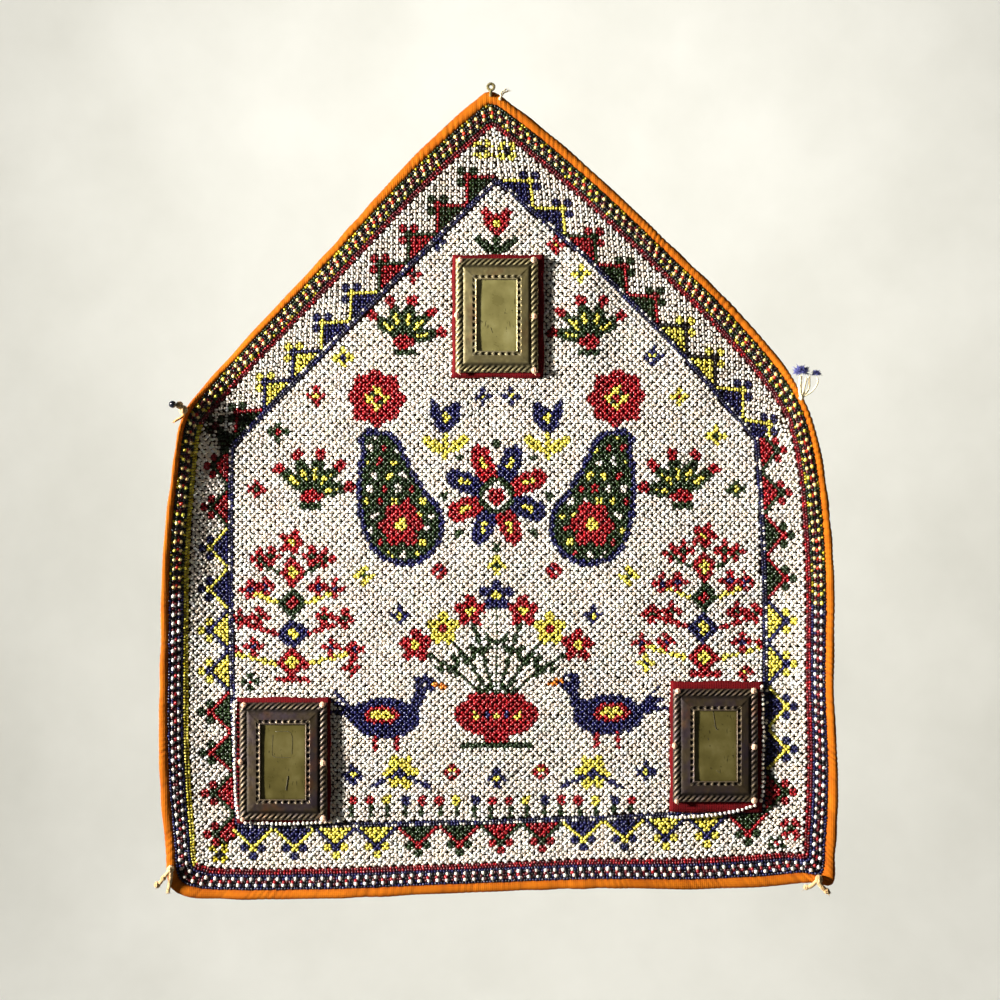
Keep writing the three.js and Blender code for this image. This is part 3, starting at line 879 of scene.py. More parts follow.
def punched_row(run, half_run, inset, hollow_width):
    """The row of punched hollows: their depth, wear and a painted highlight between them, and grime and
    painted shade in them.
    """
    pitch = 2 * half_run / round(2 * half_run / DOT_PITCH)
    step = (run + half_run) % pitch - pitch / 2
    hollow = np.exp(-((step / hollow_width) ** 6)) * (11.5 < inset < 13.3)
    wear_and_highlight = 0.75 * np.exp(-(((np.abs(step) - pitch / 2) / 0.55) ** 2))
    return -0.8 * hollow, wear_and_highlight, 0.12 + 0.85 * hollow


def frame_side(box, side, inset, rise, hollow_width):
    """A line along one side of a frame: x, z, how far it rises off the pad, wear with painted highlight, and
    grime with painted shade.
    """
    left, right, top, foot = box
    x = (left + inset, right - inset, right - inset, left + inset)
    z = (top - inset, top - inset, foot + inset, foot + inset)
    upright, after = side % 2, (side + 1) % 4
    share = np.arange(FRAME_STEPS[upright]) / FRAME_STEPS[upright]
    place = (x[side] + (x[after] - x[side]) * share, z[side] + (z[after] - z[side]) * share)
    low, high = (foot, top) if upright else (left, right)
    run = place[upright] - (low + high) / 2
    lift, wear_and_highlight, darkening = np.zeros(len(run)), np.zeros(len(run)), np.full(len(run), 0.12)
    if 0.05 < inset < TWIST_WIDTH and rise > 0.5:
        lift, wear_and_highlight, darkening = twisted_edge(run, side, inset)
    # Painted shade, with grime, in the groove between the twisted edge and the plain band.
    if 4.4 < inset < 5.6:
        darkening = np.full(len(run), 0.75)
    if 11.3 < inset < 13.5:
        lift, wear_and_highlight, darkening = punched_row(run, (high - low) / 2 - DOT_INSET, inset, hollow_width)
    if 13.8 < inset and rise >= 3.5:
        wear_and_highlight, darkening = np.full(len(run), 0.3), np.zeros(len(run))
    if rise > 0.5:
        lift = lift + 0.11 * np.sin(run / 9.0 + side * 1.7) + 0.06 * np.sin(run / 3.7 + inset)
    return *place, rise + lift, wear_and_highlight, darkening


def add_frame(name, material, hollow_width):
    """A stamped frame: a twisted edge, a plain band and a row of punched hollows."""
    box = rectangle_box(MIRRORS[name])
    lines = [frame_side(box, side, *row, hollow_width) for row in FRAME_SECTION for side in range(4)]
    x, z, rise, wear_and_highlight, darkening = stacked(lines)
    points = np.stack([x, LOOP_FRONT - frame_plane(MIRRORS[name]) - rise, z], 1)
    # Red: wear and painted highlight. Green: grime and painted shade.
    tint = np.clip(np.stack([wear_and_highlight, darkening, np.zeros(len(wear_and_highlight))], 1), 0, 1)
    groups = outward(points, tube_faces(len(FRAME_SECTION), 2 * sum(FRAME_STEPS), closed=True))
    made = new_object(f"stamped_frame_{name}", points, groups, material, tint)
    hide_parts(f"frame_{name}")


GLASS_INSET = 12.8
GLASS_BACK = 1.6
GLASS_FRONT = 2.35


def add_mirror(name, material):
    """A mirror plate behind the opening of its frame, not perfectly flat."""
    left, right, top, foot = rectangle_box(MIRRORS[name])
    base = frame_plane(MIRRORS[name])
    u, v, edge = shares_over(right - left, top - foot, 15, 21)
    x = left + GLASS_INSET + (right - left - 2 * GLASS_INSET) * u
    z = foot + GLASS_INSET + (top - foot - 2 * GLASS_INSET) * v
    rise = GLASS_FRONT - 0.3 * np.exp(-edge / 1.2) + 0.04 * np.sin(x / 5) * np.cos(z / 7)
    front = np.stack([x, LOOP_FRONT - base - rise, z], -1)
    back = np.stack([x, np.full(x.shape, LOOP_FRONT - base - GLASS_BACK), z], -1)
    points, groups = slab(front, back)
    made = new_object(f"mirror_plate_{name}", points, groups, material)
    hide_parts(f"mirror_{name}")


# Scratches in the silvering: the mirror, how wide, and the places one runs through, in shares.
SCRATCHES = [
    ("left", 0.5, [(0.56, 0.14), (0.6, 0.32)]),
    ("left", 0.16, [(0.3, 0.84), (0.28, 0.62), (0.34, 0.56), (0.66, 0.55)]),
    ("left", 0.14, [(0.34, 0.88), (0.66, 0.86), (0.68, 0.6)]),
    ("right", 0.3, [(0.44, 0.97), (0.5, 0.74), (0.55, 0.72)]),
    ("right", 0.16, [(0.44, 0.78), (0.52, 0.73)]),
    ("right", 0.2, [(0.33, 0.6), (0.35, 0.57)]),
    ("right", 0.16, [(0.52, 0.17), (0.6, 0.14)]),
    ("top", 0.18, [(0.36, 0.34), (0.4, 0.27)]),
]


def add_scratches():
    parts = []
    for name, width, places in SCRATCHES:
        left, right, top, foot = rectangle_box(MIRRORS[name])
        rise = frame_plane(MIRRORS[name]) + GLASS_FRONT + 0.02
        low, high = np.array([left, foot]) + GLASS_INSET, np.array([right, top]) - GLASS_INSET
        flat = low + (high - low) * np.array(places)
        line = np.stack([flat[:, 0], np.full(len(flat), LOOP_FRONT - rise), flat[:, 1]], 1)
        parts.append(tube(smooth_line(line, 5), width, 4))
    made = new_object("mirror_scratches", *joined(parts), SCRATCH_STAIN)


# The beads of the border net.


def rim_inner(side):
    """How far out the rim's inner edge lies at places along a border side."""
    start, along, outwards, _ = side_frame(side)
    places = band_at(side, np.linspace(0, 1, 240), cover=1, inset=RIM_WIDTH) - start
    return places @ along, places @ outwards


def lattice(size):
    """Places of the three beads of each cell, in cells, and the direction of each one's thread."""
    i, j = np.meshgrid(np.arange(-size, size), np.arange(-size, size))
    i, j = i.ravel().astype(float), j.ravel().astype(float)
    knots = np.where((i + j) % 2 == 0, 0, 1)
    cells = np.concatenate([np.stack([i, j], 1), np.stack([i + 0.5, j], 1), np.stack([i, j + 0.5], 1)])
    return cells, np.concatenate([knots, np.zeros(len(i), int), np.ones(len(i), int)])


def diagonal(cells):
    """How far along a net and across it cells lie; its threads run at a slant."""
    i, j = cells.T
    return (i - j) / math.sqrt(2) * LATTICE, (i + j) / math.sqrt(2) * LATTICE


def motif_colours(cells, fill, outline):
    """The pointed motif and its four-part flower, by cells counted from the flower's middle."""
    i, j = cells[:, 0], cells[:, 1]
    colours = np.full(len(cells), WHITE)
    colours[(i < 0) & (j < 0)] = fill[(i < 0) & (j < 0)]
    for line in ((i <= 0) & (j == 0), (j <= 0) & (i == 0)):
        colours[line] = outline[line]
    near = (np.abs(i) + np.abs(j)) <= 0.5
    colours[near] = outline[near]
    for petal_i, petal_j in ((1, 1), (1, -1), (-1, 1)):
        petal = (np.abs(i - petal_i) + np.abs(j - petal_j)) <= 0.5
        colours[petal] = fill[petal]
    return colours


# How far a border net runs on past its motifs, and how far it keeps off the line and the rim.
NET_SPARE = 60
NET_FROM_LINE = 1.7
NET_FROM_RIM = 0.8
# Where two sides meet: how near two beads may be, how far from the seam that no longer counts,
# and how much a coloured bead is preferred to a white one.
SEAM_APART = 1.62
SEAM_REACH = 6.5
SEAM_COLOURED = 8

# Small flowers in the corners of the border: x, z, reach, petal colour and middle colour.
CORNER_FLOWERS = [
    (-5.5, -41.2, 7.4, YELLOW, BLACK),
    (10.8, -42.6, 7.4, YELLOW, BLACK),
    (-183.4, -225.6, 7.4, GREEN, MAROON),
    (-180.8, -511.0, 7.2, OLIVE, BLACK),
    (199.8, -494.2, 7.2, RED, GREEN),
    (190.4, -503.0, 5.4, GREEN, RED),
]
# The pointed motif that turns the left shoulder: the middle of its foot, its point, its width.
CORNER_POINT = ((-171.5, -240.0), (-183.0, -228.0), 11.0)


def corner_colours(x, z, colours):
    (foot_x, foot_z), (tip_x, tip_z), wide = CORNER_POINT
    length = math.hypot(tip_x - foot_x, tip_z - foot_z)
    ahead = ((x - foot_x) * (tip_x - foot_x) + (z - foot_z) * (tip_z - foot_z)) / length
    aside = ((x - foot_x) * (tip_z - foot_z) - (z - foot_z) * (tip_x - foot_x)) / length
    colours[(ahead > 0) & (np.abs(aside) < wide * (1 - ahead / length))] = GREEN
    for middle_x, middle_z, reach, petal, middle in CORNER_FLOWERS:
        away = np.hypot(x - middle_x, z - middle_z)
        across = np.abs(np.sin(2 * np.arctan2(z - middle_z, x - middle_x)))
        colours[(away < reach) & (across > 0.55)] = petal
        colours[away < reach * 0.36] = middle
    return colours


NET_WANDER = 0.45


def hand_sewn(x, z):
    """How far the lattice wanders off its even spacing."""
    shift_x = 0.5 * np.sin(z / 21.0 + 1.0) * np.sin(x / 27.0) + 0.35 * np.sin(z / 8.5 + x / 14.0)
    shift_z = 0.5 * np.sin(x / 19.0 + 2.0) * np.cos(z / 31.0) + 0.35 * np.cos(x / 9.5 - z / 12.0)
    return shift_x, shift_z


def border_side_beads(side):
    start, along, outwards, length = side_frame(side)
    motifs = np.array(BORDER_MOTIFS[side])
    first, pitch = MOTIF_ROWS[side]
    cells, thread = lattice(NET_CELLS)
    p, q = diagonal(cells)
    ends = (p > -NET_SPARE) & (p < len(motifs) * MOTIF_LENGTH + NET_SPARE)
    keep = (q > 0.8) & (q < MOTIF_LENGTH + 0.2) & ends
    cells, thread, p, q = cells[keep], thread[keep], p[keep], q[keep]
    number = np.clip(np.floor(p / MOTIF_LENGTH), 0, len(motifs) - 1).astype(int)
    local = cells - np.stack([MOTIF_CELLS * (number + 1.0), -MOTIF_CELLS * number * 1.0], 1)
    colours = motif_colours(local, motifs[number, 0], motifs[number, 1])
    colours[(p < 0) | (p > len(motifs) * MOTIF_LENGTH)] = WHITE
    run = first + (p / MOTIF_LENGTH - 0.5) * pitch
    low = bow_at(side, run / length) + NET_FROM_LINE
    rim_run, rim_out = rim_inner(side)
    high = np.interp(run, rim_run, rim_out) - NET_FROM_RIM
    depth = low + (high - low) * q / (MOTIF_LENGTH + 0.2)
    place = start + run[:, None] * along + depth[:, None] * outwards
    after = side_frame((side + 1) % SIDES)[0]
    past_start = seam_cross(outer_at(side, 0.0) - start, place - start)
    past_end = -seam_cross(outer_at(side, 1.0) - after, place - after)
    past = np.minimum(past_start, past_end)
    inside = past > np.where(colours == WHITE, -1.6, -6.0)
    turned = np.stack([along + outwards, outwards - along]) / math.sqrt(2)
    return place[inside], turned[thread[inside]], colours[inside], past[inside]


def apart(place, rank, nearest):
    """Which beads are kept where two nets meet: the higher ranked of each pair that is too near."""
    order = np.argsort(-rank)
    kept = np.zeros(len(place), bool)
    taken = {}
    for k in order:
        x, z = place[k]
        cell_x, cell_z = int(x // nearest), int(z // nearest)
        around = [taken.get((cell_x + i, cell_z + j), ()) for i in (-1, 0, 1) for j in (-1, 0, 1)]
        if all(math.hypot(x - a, z - b) >= nearest for spots in around for a, b in spots):
            kept[k] = True
            taken.setdefault((cell_x, cell_z), []).append((x, z))
    return kept


def seam_cross(seam, offset):
    """How far a place lies clockwise past a seam between two sides."""
    across, up = unit(seam)
    return up * offset[:, 0] - across * offset[:, 1]


def add_net(name, place, threads, colours, out, amount=1.0, size=NET_BEAD, loose=0.16, sides=5):
    """Beads sewn to the cloth, each a little off its place in the net."""
    shift_x, shift_z = hand_sewn(place[:, 0], place[:, 1])
    number = len(place)
    x = place[:, 0] + NET_WANDER * amount * shift_x + chance.normal(0, loose, number)
    z = place[:, 1] + NET_WANDER * amount * shift_z + chance.normal(0, loose, number)
    centres = on_cloth(x, z, out + chance.normal(0, 0.14, number))
    along = np.stack([threads[:, 0], np.zeros(number), threads[:, 1]], 1)
    return add_beads(name, centres, along, cloth_facing(x, z), colours, sides, size)


def add_border_net():
    rows = [border_side_beads(side) for side in range(SIDES)]
    side_of = np.repeat(np.arange(SIDES), [len(row[0]) for row in rows])
    place, threads, colours, past = stacked(rows)
    rank = past + np.where(colours == WHITE, 0, SEAM_COLOURED)
    kept = apart(place, rank, SEAM_APART) | (past > SEAM_REACH)
    colours = corner_colours(place[:, 0], place[:, 1], colours)
    made = []
    for side, name in enumerate(("right_slope", "right", "foot", "left", "left_slope")):
        part = kept & (side_of == side)
        bead = SLOPE_BEAD if "slope" in name else NET_BEAD
        spots = place[part], threads[part], colours[part]
        piece = add_net(f"border_beads_{name}", *spots, NET_MIDDLE, 0.5, bead)
        made.append(piece)
    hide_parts("border_net")
    return made


# The rows of the navy line: how far out each lies, how far apart its beads are and their height.
LINE_ROWS = (-0.75, 0.95)
LINE_PITCH = 1.98
LINE_OUT = 1.9


def add_border_line():
    """The navy line, two beads wide, round the field, with white beads let into its outer row."""
    rows = []
    for side in range(SIDES):
        _, along, outwards, length = side_frame(side)
        for row, offset in enumerate(LINE_ROWS):
            number = round((length + (offset + 0.85)) / LINE_PITCH)
            share = (np.arange(number) + 0.25 + 0.5 * row) / number
            dice = chance.random(number)
            colours = np.where(dice < 0.55, DEEP, NAVY)
            colours[(dice > 0.74) & (row == 1)] = WHITE
            place = border_at(side, share) + outwards * offset
            rows.append((place, np.broadcast_to(along, (number, 2)), colours))
    made = add_net("border_line_beads", *stacked(rows), LINE_OUT, 0.1, LINE_BEAD, 0.1)
    return made


# The beaded rim: inset past the binding, height off the cloth, what the row is, and where its
# first bead lies, in beads.
RIM_ROWS = [
    (0.9, 1.9, "line", 0.5),
    (3.0, 2.3, "pairs", 0.0),
    (4.9, 2.2, "middle", 0.5),
    (6.8, 2.4, "pairs", 0.2),
    (8.7, 2.2, "line", 0.5),
    (10.4, 2.15, "inner", 0.2),
    (12.0, 1.95, "inner", 0.7),
]
RIM_MIDDLE = 4.7
RIM_STEPS = 400
RIM_PITCH = 2.0
# The rim's colours repeat after three beads, and the inner rows have a few beads less.
RIM_COLUMNS = 3
INNER_SHARE = 0.985
RIM_CHANGE_LEFT = -335
RIM_CHANGE_RIGHT = -344


def rim_colours(row, index, x, z, side):
    """The rim's two outlines, two rows of pairs and inner rows. Its colours change lower down."""
    low = np.where(x < 0, z < RIM_CHANGE_LEFT, z < RIM_CHANGE_RIGHT)
    dice = chance.random(len(x))
    light = np.where(low, WHITE, np.where(dice < 0.7, CREAM, YELLOW))
    dark = np.where(low, NAVY, GREEN)
    column = index % RIM_COLUMNS
    if row == "line":
        dark = np.where((dice > 0.8) & ~low, OLIVE, dark)
        return np.where(dice < 0.35, np.where(low, DEEP, BLACK), dark)
    if row == "pairs":
        between = np.where(dice < 0.55, BLACK, np.where(dice < 0.75, dark, MAROON))
        return np.where(column == 0, light, between)
    if row == "middle":
        centre = np.where(low, np.where(dice < 0.6, MAROON, RED), np.where(dice < 0.45, SCARLET, MAROON))
        return np.where(column == 0, centre, np.where(dice < 0.75, BLACK, MAROON))
    golden = (side == 3) & (z > -520)
    red = np.where(dice < np.where(side % 4 == 0, 0.7, 0.55), MAROON, RED)
    return np.where(golden, np.where(dice < 0.45, OLIVE, YELLOW), red)


def add_rim():
    side_of = np.repeat(np.arange(SIDES), RIM_STEPS)
    middle = ring(RIM_STEPS, cover=1, inset=RIM_MIDDLE)
    run = run_of(np.concatenate([middle, middle[:1]]))
    total = round(run[-1] / RIM_PITCH / RIM_COLUMNS) * RIM_COLUMNS
    rows = []
    for inset, out, kind, first in RIM_ROWS:
        count = round(total * INNER_SHARE) if kind == "inner" else total
        index = np.arange(count)
        target = ((index + first) / count * run[-1]) % run[-1]
        line = ring(RIM_STEPS, cover=1, inset=inset)
        place = place_at(target, run, np.concatenate([line, line[:1]]))
        side = side_of[np.clip(np.searchsorted(run, target) - 1, 0, len(side_of) - 1)]
        direction = unit(np.roll(place, -1, axis=0) - np.roll(place, 1, axis=0))
        across = np.stack([-direction[:, 1], direction[:, 0]], 1)
        thread = across if kind == "pairs" else direction + across * (0.55 if kind == "inner" else 0.12)
        colours = rim_colours(kind, index, place[:, 0], place[:, 1], side)
        rung = (index % RIM_COLUMNS == 0) & (kind in ("pairs", "middle"))
        radius, half = (np.where(rung, RUNG_BEAD[k], RIM_BEAD[k]) for k in (0, 1))
        rows.append((place, thread, colours, np.full(count, out), radius, half))
    place, thread, colours, out, radius, half = stacked(rows)
    made = add_net("rim_beads", place, thread, colours, out, 0.1, (radius, half), 0.09)
    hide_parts("rim_band")
    return made


# The field's own design, charted in millimetres: simple shapes, later ones over earlier ones.


class Chart:
    """The colours of the field's beads, painted shape by shape."""

    def __init__(self, x, z):
        self.x, self.z = x, z
        self.colours = np.full(len(x), WHITE)

    def paint(self, mask, colour):
        self.colours[mask] = colour

    def oval(self, x, z, wide, tall, colour, turn=0.0):
        across, up = self.turned(x, z, turn)
        self.paint((across / wide) ** 2 + (up / tall) ** 2 < 1, colour)

    def diamond(self, x, z, wide, tall, colour):
        self.paint(np.abs(self.x - x) / wide + np.abs(self.z - z) / tall < 1, colour)

    def box(self, x, z, wide, tall, colour):
        self.paint((np.abs(self.x - x) < wide) & (np.abs(self.z - z) < tall), colour)

    def turned(self, x, z, turn):
        away_x, away_z = self.x - x, self.z - z
        return (
            away_x * math.cos(turn) + away_z * math.sin(turn),
            away_z * math.cos(turn) - away_x * math.sin(turn),
        )

    def turned_about(self, x, z, turn):
        """The same colours, painted through places turned about a point."""
        across, up = self.turned(x, z, turn)
        other = Chart(across + x, up + z)
        other.colours = self.colours
        return other

    def stroke(self, places, width, colour):
        for (from_x, from_z), (to_x, to_z) in zip(places[:-1], places[1:]):
            run_x, run_z = to_x - from_x, to_z - from_z
            length = run_x * run_x + run_z * run_z
            share = np.clip(((self.x - from_x) * run_x + (self.z - from_z) * run_z) / length, 0, 1)
            away = np.hypot(self.x - from_x - share * run_x, self.z - from_z - share * run_z)
            self.paint(away < width / 2, colour)

    def leaf(self, x, z, away, long, wide, colour, angle):
        """An oval that points away from a place, with its middle so far from it."""
        self.oval(x + away * math.cos(angle), z + away * math.sin(angle), long, wide, colour, angle)

    def daisy(self, x, z, reach, petal, middle, petals=4, turn=0.0):
        for k in range(petals):
            angle = turn + k * 2 * math.pi / petals
            self.leaf(x, z, reach * 0.62, reach * 0.46, reach * 0.36, petal, angle)
        self.oval(x, z, reach * 0.3, reach * 0.3, middle)


def tulip(chart, x, z, size, cup, leaf):
    """A cup with three points on a stem with two leaves."""
    chart.stroke([(x, z - size * 0.3), (x, z - size * 1.3)], 3.2, leaf)
    for way in (-1, 1):
        chart.oval(x + way * size * 0.42, z - size * 0.85, size * 0.42, size * 0.17, leaf, way * 0.7)
        chart.oval(x + way * size * 0.28, z + size * 0.12, size * 0.2, size * 0.5, cup, -way * 0.35)
    chart.oval(x, z - size * 0.05, size * 0.3, size * 0.42, cup)
    chart.diamond(x, z, 3.4, 4.4, YELLOW)


def leaf_fan(chart, x, z, size, way):
    """Five leaves spreading from a foot, each with a bud."""
    for k in range(5):
        angle = math.radians(90 + way * 14 + (k - 2) * 34)
        chart.leaf(x, z, size * 0.5, size * 0.46, size * 0.17, GREEN, angle)
        chart.leaf(x, z, size * 0.52, size * 0.18, 1.6, YELLOW, angle)
        chart.leaf(x, z, size * 1.02, 3.6, 3.6, RED, angle)
    chart.diamond(x, z - size * 0.1, size * 0.36, size * 0.22, RED)
    chart.box(x, z - size * 0.36, size * 0.3, 2.0, GREEN)


def paisley(chart, x, z, size, way, rim, body, seeds):
    """A fat drop that curls over at its tip, with a rim and rows of seeds."""
    drops = np.linspace(0, 1, 26)
    curl = drops * 1.9
    centre_x = x + way * size * (0.95 * drops + 0.1 * np.sin(curl * 1.6))
    centre_z = z + size * (0.5 * drops**1.5 - 0.28 * np.maximum(drops - 0.66, 0) * 3)
    radius = size * 0.36 * (1 - drops) ** 0.75 + size * 0.05
    inside = np.full(len(chart.x), 1e3)
    for drop_x, drop_z, drop_radius in zip(centre_x, centre_z, radius):
        inside = np.minimum(inside, np.hypot(chart.x - drop_x, chart.z - drop_z) - drop_radius)
    chart.paint(inside < 0, rim)
    chart.paint(inside < -3.4, body)
    row = np.floor((chart.z - z) / 7.7)
    spot_x = (chart.x - x + row % 2 * 5.4) % 10.9 - 5.4
    spot_z = (chart.z - z) % 7.7 - 3.85
    for k, colour in enumerate(seeds):
        chosen = (np.floor((chart.x - x + row % 2 * 5.4) / 10.9) + row) % len(seeds) == k
        chart.paint((inside < -4.6) & (np.hypot(spot_x, spot_z) < 2.5) & chosen, colour)
    chart.daisy(x + way * 1.5, z - 1.0, size * 0.22, RED, YELLOW, 6)


def medallion(chart, x, z, size):
    """Eight petals of two colours round a ring and a small flower."""
    for k in range(8):
        angle = k * math.pi / 4 + math.pi / 8
        chart.leaf(x, z, size * 0.62, size * 0.4, size * 0.2, NAVY if k % 2 else RED, angle)
        chart.leaf(x, z, size * 0.66, size * 0.14, 1.9, YELLOW, angle)
        chart.leaf(x, z, size, 2.8, 2.8, GREEN, angle + math.pi / 8)
    chart.oval(x, z, size * 0.34, size * 0.34, GREEN)
    chart.oval(x, z, size * 0.24, size * 0.24, WHITE)
    chart.oval(x, z, size * 0.16, size * 0.16, RED)


def flower_pot(chart, x, z, size):
    """A footed pot with seven stems, the middle ones tall, each with a flower."""
    for k in range(-3, 4):
        rise = size * (1.12 - 0.17 * abs(k))
        side = k * size * 0.27
        chart.stroke([(x, z), (x + side * 0.5, z + rise * 0.55), (x + side, z + rise)], 2.6, GREEN)
        for way in (-1, 1):
            chart.oval(x + side * 0.62 + way * 4.6, z + rise * 0.6, 4.4, 1.9, GREEN, way * 0.7)
    for k in range(-3, 4):
        rise = size * (1.12 - 0.17 * abs(k))
        petal = (NAVY, RED, YELLOW, RED)[abs(k)]
        chart.daisy(x + k * size * 0.27, z + rise, 10.6, petal, YELLOW if petal != YELLOW else RED, 5, 0.3)
    chart.oval(x, z - size * 0.1, size * 0.42, size * 0.22, RED)
    chart.box(x, z + size * 0.08, size * 0.28, size * 0.05, RED)
    chart.box(x, z - size * 0.32, size * 0.14, size * 0.07, RED)
    chart.box(x, z - size * 0.4, size * 0.36, size * 0.04, GREEN)
    for k in range(-2, 3):
        chart.diamond(x + k * 7.0, z - size * 0.1, 2.7, 3.4, YELLOW if k % 2 == 0 else NAVY)


def duck(chart, x, z, size, way):
    """A small round water bird, with a banded wing."""
    ahead = way * size
    chart.oval(x, z, size * 0.52, size * 0.3, NAVY)
    chart.stroke([(x + ahead * 0.4, z + size * 0.05), (x + ahead * 0.55, z + size * 0.42)], 7.0, NAVY)
    chart.oval(x + ahead * 0.58, z + size * 0.5, size * 0.15, size * 0.13, NAVY)
    chart.stroke([(x + ahead * 0.7, z + size * 0.5), (x + ahead * 0.88, z + size * 0.46)], 3.2, ORANGE)
    for k in range(3):
        tip = (x - ahead * (0.86 - 0.06 * k), z + size * (0.1 + 0.14 * k))
        chart.stroke([(x - ahead * 0.42, z + 1), tip], 3.0, NAVY)
    chart.oval(x - ahead * 0.06, z + size * 0.04, size * 0.27, size * 0.14, RED)
    chart.oval(x - ahead * 0.06, z + size * 0.04, size * 0.18, size * 0.075, YELLOW)
    for step in (-0.16, 0.16):
        leg = x + step * size
        chart.stroke([(leg, z - size * 0.28), (leg, z - size * 0.48)], 3.0, RED)
    chart.oval(x + ahead * 0.6, z + size * 0.52, 1.5, 1.5, WHITE)


def lozenge_stem(chart, x, z, size):
    """Stacked lozenges, each with a flowering branch at either side."""
    colours = ((RED, YELLOW), (NAVY, YELLOW), (GREEN, RED), (RED, YELLOW))
    chart.stroke([(x, z - size * 0.1), (x, z + size * 2.2)], 2.6, GREEN)
    for k, (outer, inner) in enumerate(colours):
        level = z + size * 0.56 * k
        wide = size * (0.34 - 0.03 * k)
        chart.diamond(x, level, wide, size * 0.3, outer)
        chart.diamond(x, level, wide * 0.45, size * 0.14, inner)
        for way in (-1, 1):
            reach = wide + size * (0.74 - 0.14 * k)
            line = (YELLOW, RED, YELLOW, GREEN)[k]
            chart.stroke([(x + way * wide, level), (x + way * reach, level + size * 0.2)], 3.0, line)
            for along, rise in ((1.06, 0.26), (0.66, 0.3)):
                chart.daisy(x + way * reach * along, level + size * rise, 6.6, RED, GREEN if k % 2 else NAVY)
    chart.daisy(x, z + size * 2.25, 8.0, RED, YELLOW, 5)
    chart.box(x, z - size * 0.3, size * 0.3, 2.2, RED)


# Small flowers strewn over the field: x, z, reach, petal colour and middle colour.
STREWN = [
    (-36, -103, 6.0, NAVY, YELLOW),
    (44, -106, 6.2, RED, YELLOW),
    (-52, -124, 6.4, RED, BLACK),
    (60, -124, 6.4, YELLOW, GREEN),
    (-98, -180, 6.6, YELLOW, NAVY),
    (108, -180, 6.6, NAVY, YELLOW),
    (-116, -206, 6.0, RED, YELLOW),
    (126, -206, 6.4, YELLOW, RED),
    (-142, -230, 6.4, GREEN, RED),
    (150, -232, 6.4, YELLOW, GREEN),
    (-156, -268, 6.0, RED, GREEN),
    (164, -268, 6.0, GREEN, YELLOW),
    (-84, -326, 6.4, YELLOW, GREEN),
    (92, -326, 6.4, YELLOW, GREEN),
    (-34, -322, 6.0, RED, NAVY),
    (42, -322, 6.0, RED, NAVY),
    (4, -318, 6.0, YELLOW, GREEN),
    (-5, -206, 5.6, NAVY, YELLOW),
    (14, -206, 5.6, NAVY, YELLOW),
    (-60, -352, 6.0, NAVY, YELLOW),
    (68, -352, 6.0, NAVY, YELLOW),
    (-92, -386, 6.0, RED, GREEN),
    (104, -384, 6.0, YELLOW, NAVY),
    (-92, -458, 6.4, NAVY, YELLOW),
    (104, -456, 6.4, NAVY, YELLOW),
    (-26, -456, 6.2, RED, YELLOW),
    (34, -456, 6.2, RED, YELLOW),
    (4, -460, 6.2, NAVY, YELLOW),
    (-160, -396, 5.6, GREEN, RED),
    (170, -390, 5.6, RED, YELLOW),
]


def field_colours(x, z):
    chart = Chart(x, z)
    tulip(chart, 4, -90, 18, RED, GREEN)
    for way, middle in ((-1, -58), (1, 66)):
        leaf_fan(chart, middle, -167, 25, way)
        leaf_fan(chart, middle + way * 62, -270, 26, way)
        chart.daisy(middle + way * 18, -207, 18, RED, GREEN, 8)
        chart.daisy(middle + way * 18, -207, 8, YELLOW, RED, 4)
        tulip(chart, middle - way * 28, -221, 20, NAVY, YELLOW)
        upright = chart.turned_about(middle, -292, way * 0.95)
        paisley(upright, middle, -292, 66, way, NAVY, GREEN, (RED, YELLOW, WHITE))
    medallion(chart, 4, -272, 35)
    lozenge_stem(chart, -132, -384, 36)
    lozenge_stem(chart, 142, -380, 36)
    flower_pot(chart, 4, -412, 66)
    duck(chart, -70, -420, 45, 1)
    duck(chart, 78, -418, 45, -1)
    for way, middle in ((-1, -60), (1, 68)):
        chart.daisy(middle, -457, 11, YELLOW, NAVY, 6)
        for side in (-1, 1):
            chart.stroke([(middle, -457), (middle + side * 20, -466)], 2.6, NAVY)
    for place_x, place_z, reach, petal, middle in STREWN:
        chart.daisy(place_x, place_z, reach, petal, middle)
    for k in range(17):
        place = -92 + 11.6 * k
        petal = (RED, RED, YELLOW, NAVY)[k % 4]
        chart.stroke([(place, -479), (place, -486)], 2.4, GREEN)
        chart.oval(place, -475, 3.1, 3.3, petal)
    return chart.colours


# The three pieces of the field net: from this height up to that one.
FIELD_LEVELS = [(-1000, -380, "foot"), (-380, -250, "middle"), (-250, 0, "head")]


def in_field(x, z):
    """Which places lie inside the border line and not under a pad."""
    keep = np.ones(len(x), bool)
    for side in range(SIDES):
        start, along, outwards, length = side_frame(side)
        run = (x - start[0]) * along[0] + (z - start[1]) * along[1]
        past = (x - start[0]) * outwards[0] + (z - start[1]) * outwards[1]
        keep &= past < bow_at(side, np.clip(run / length, 0, 1)) - 1.9
    for row in MIRRORS.values():
        left, right, top, foot = rectangle_box(row, margins=True)
        keep &= ~((x > left + 3) & (x < right - 3) & (z > foot + 3) & (z < top - 3))
    return keep


def add_field_net():
    cells, thread = lattice(NET_CELLS)
    across, up = diagonal(cells)
    x, z = FIELD_MIDDLE[0] + across, FIELD_MIDDLE[1] + 34 + up
    keep = in_field(x, z)
    x, z, thread = x[keep], z[keep], thread[keep]
    threads = np.where(thread[:, None] == 0, [[1.0, 1.0]], [[-1.0, 1.0]]) / math.sqrt(2)
    colours = field_colours(x, z)
    place = np.stack([x, z], 1)
    made = []
    for low, high, name in FIELD_LEVELS:
        part = (z > low) & (z <= high)
        spots = place[part], threads[part], colours[part]
        made.append(add_net(f"field_beads_{name}", *spots, NET_MIDDLE))
    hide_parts("field_net")
    return made


# Beads and threads that hold the frames.


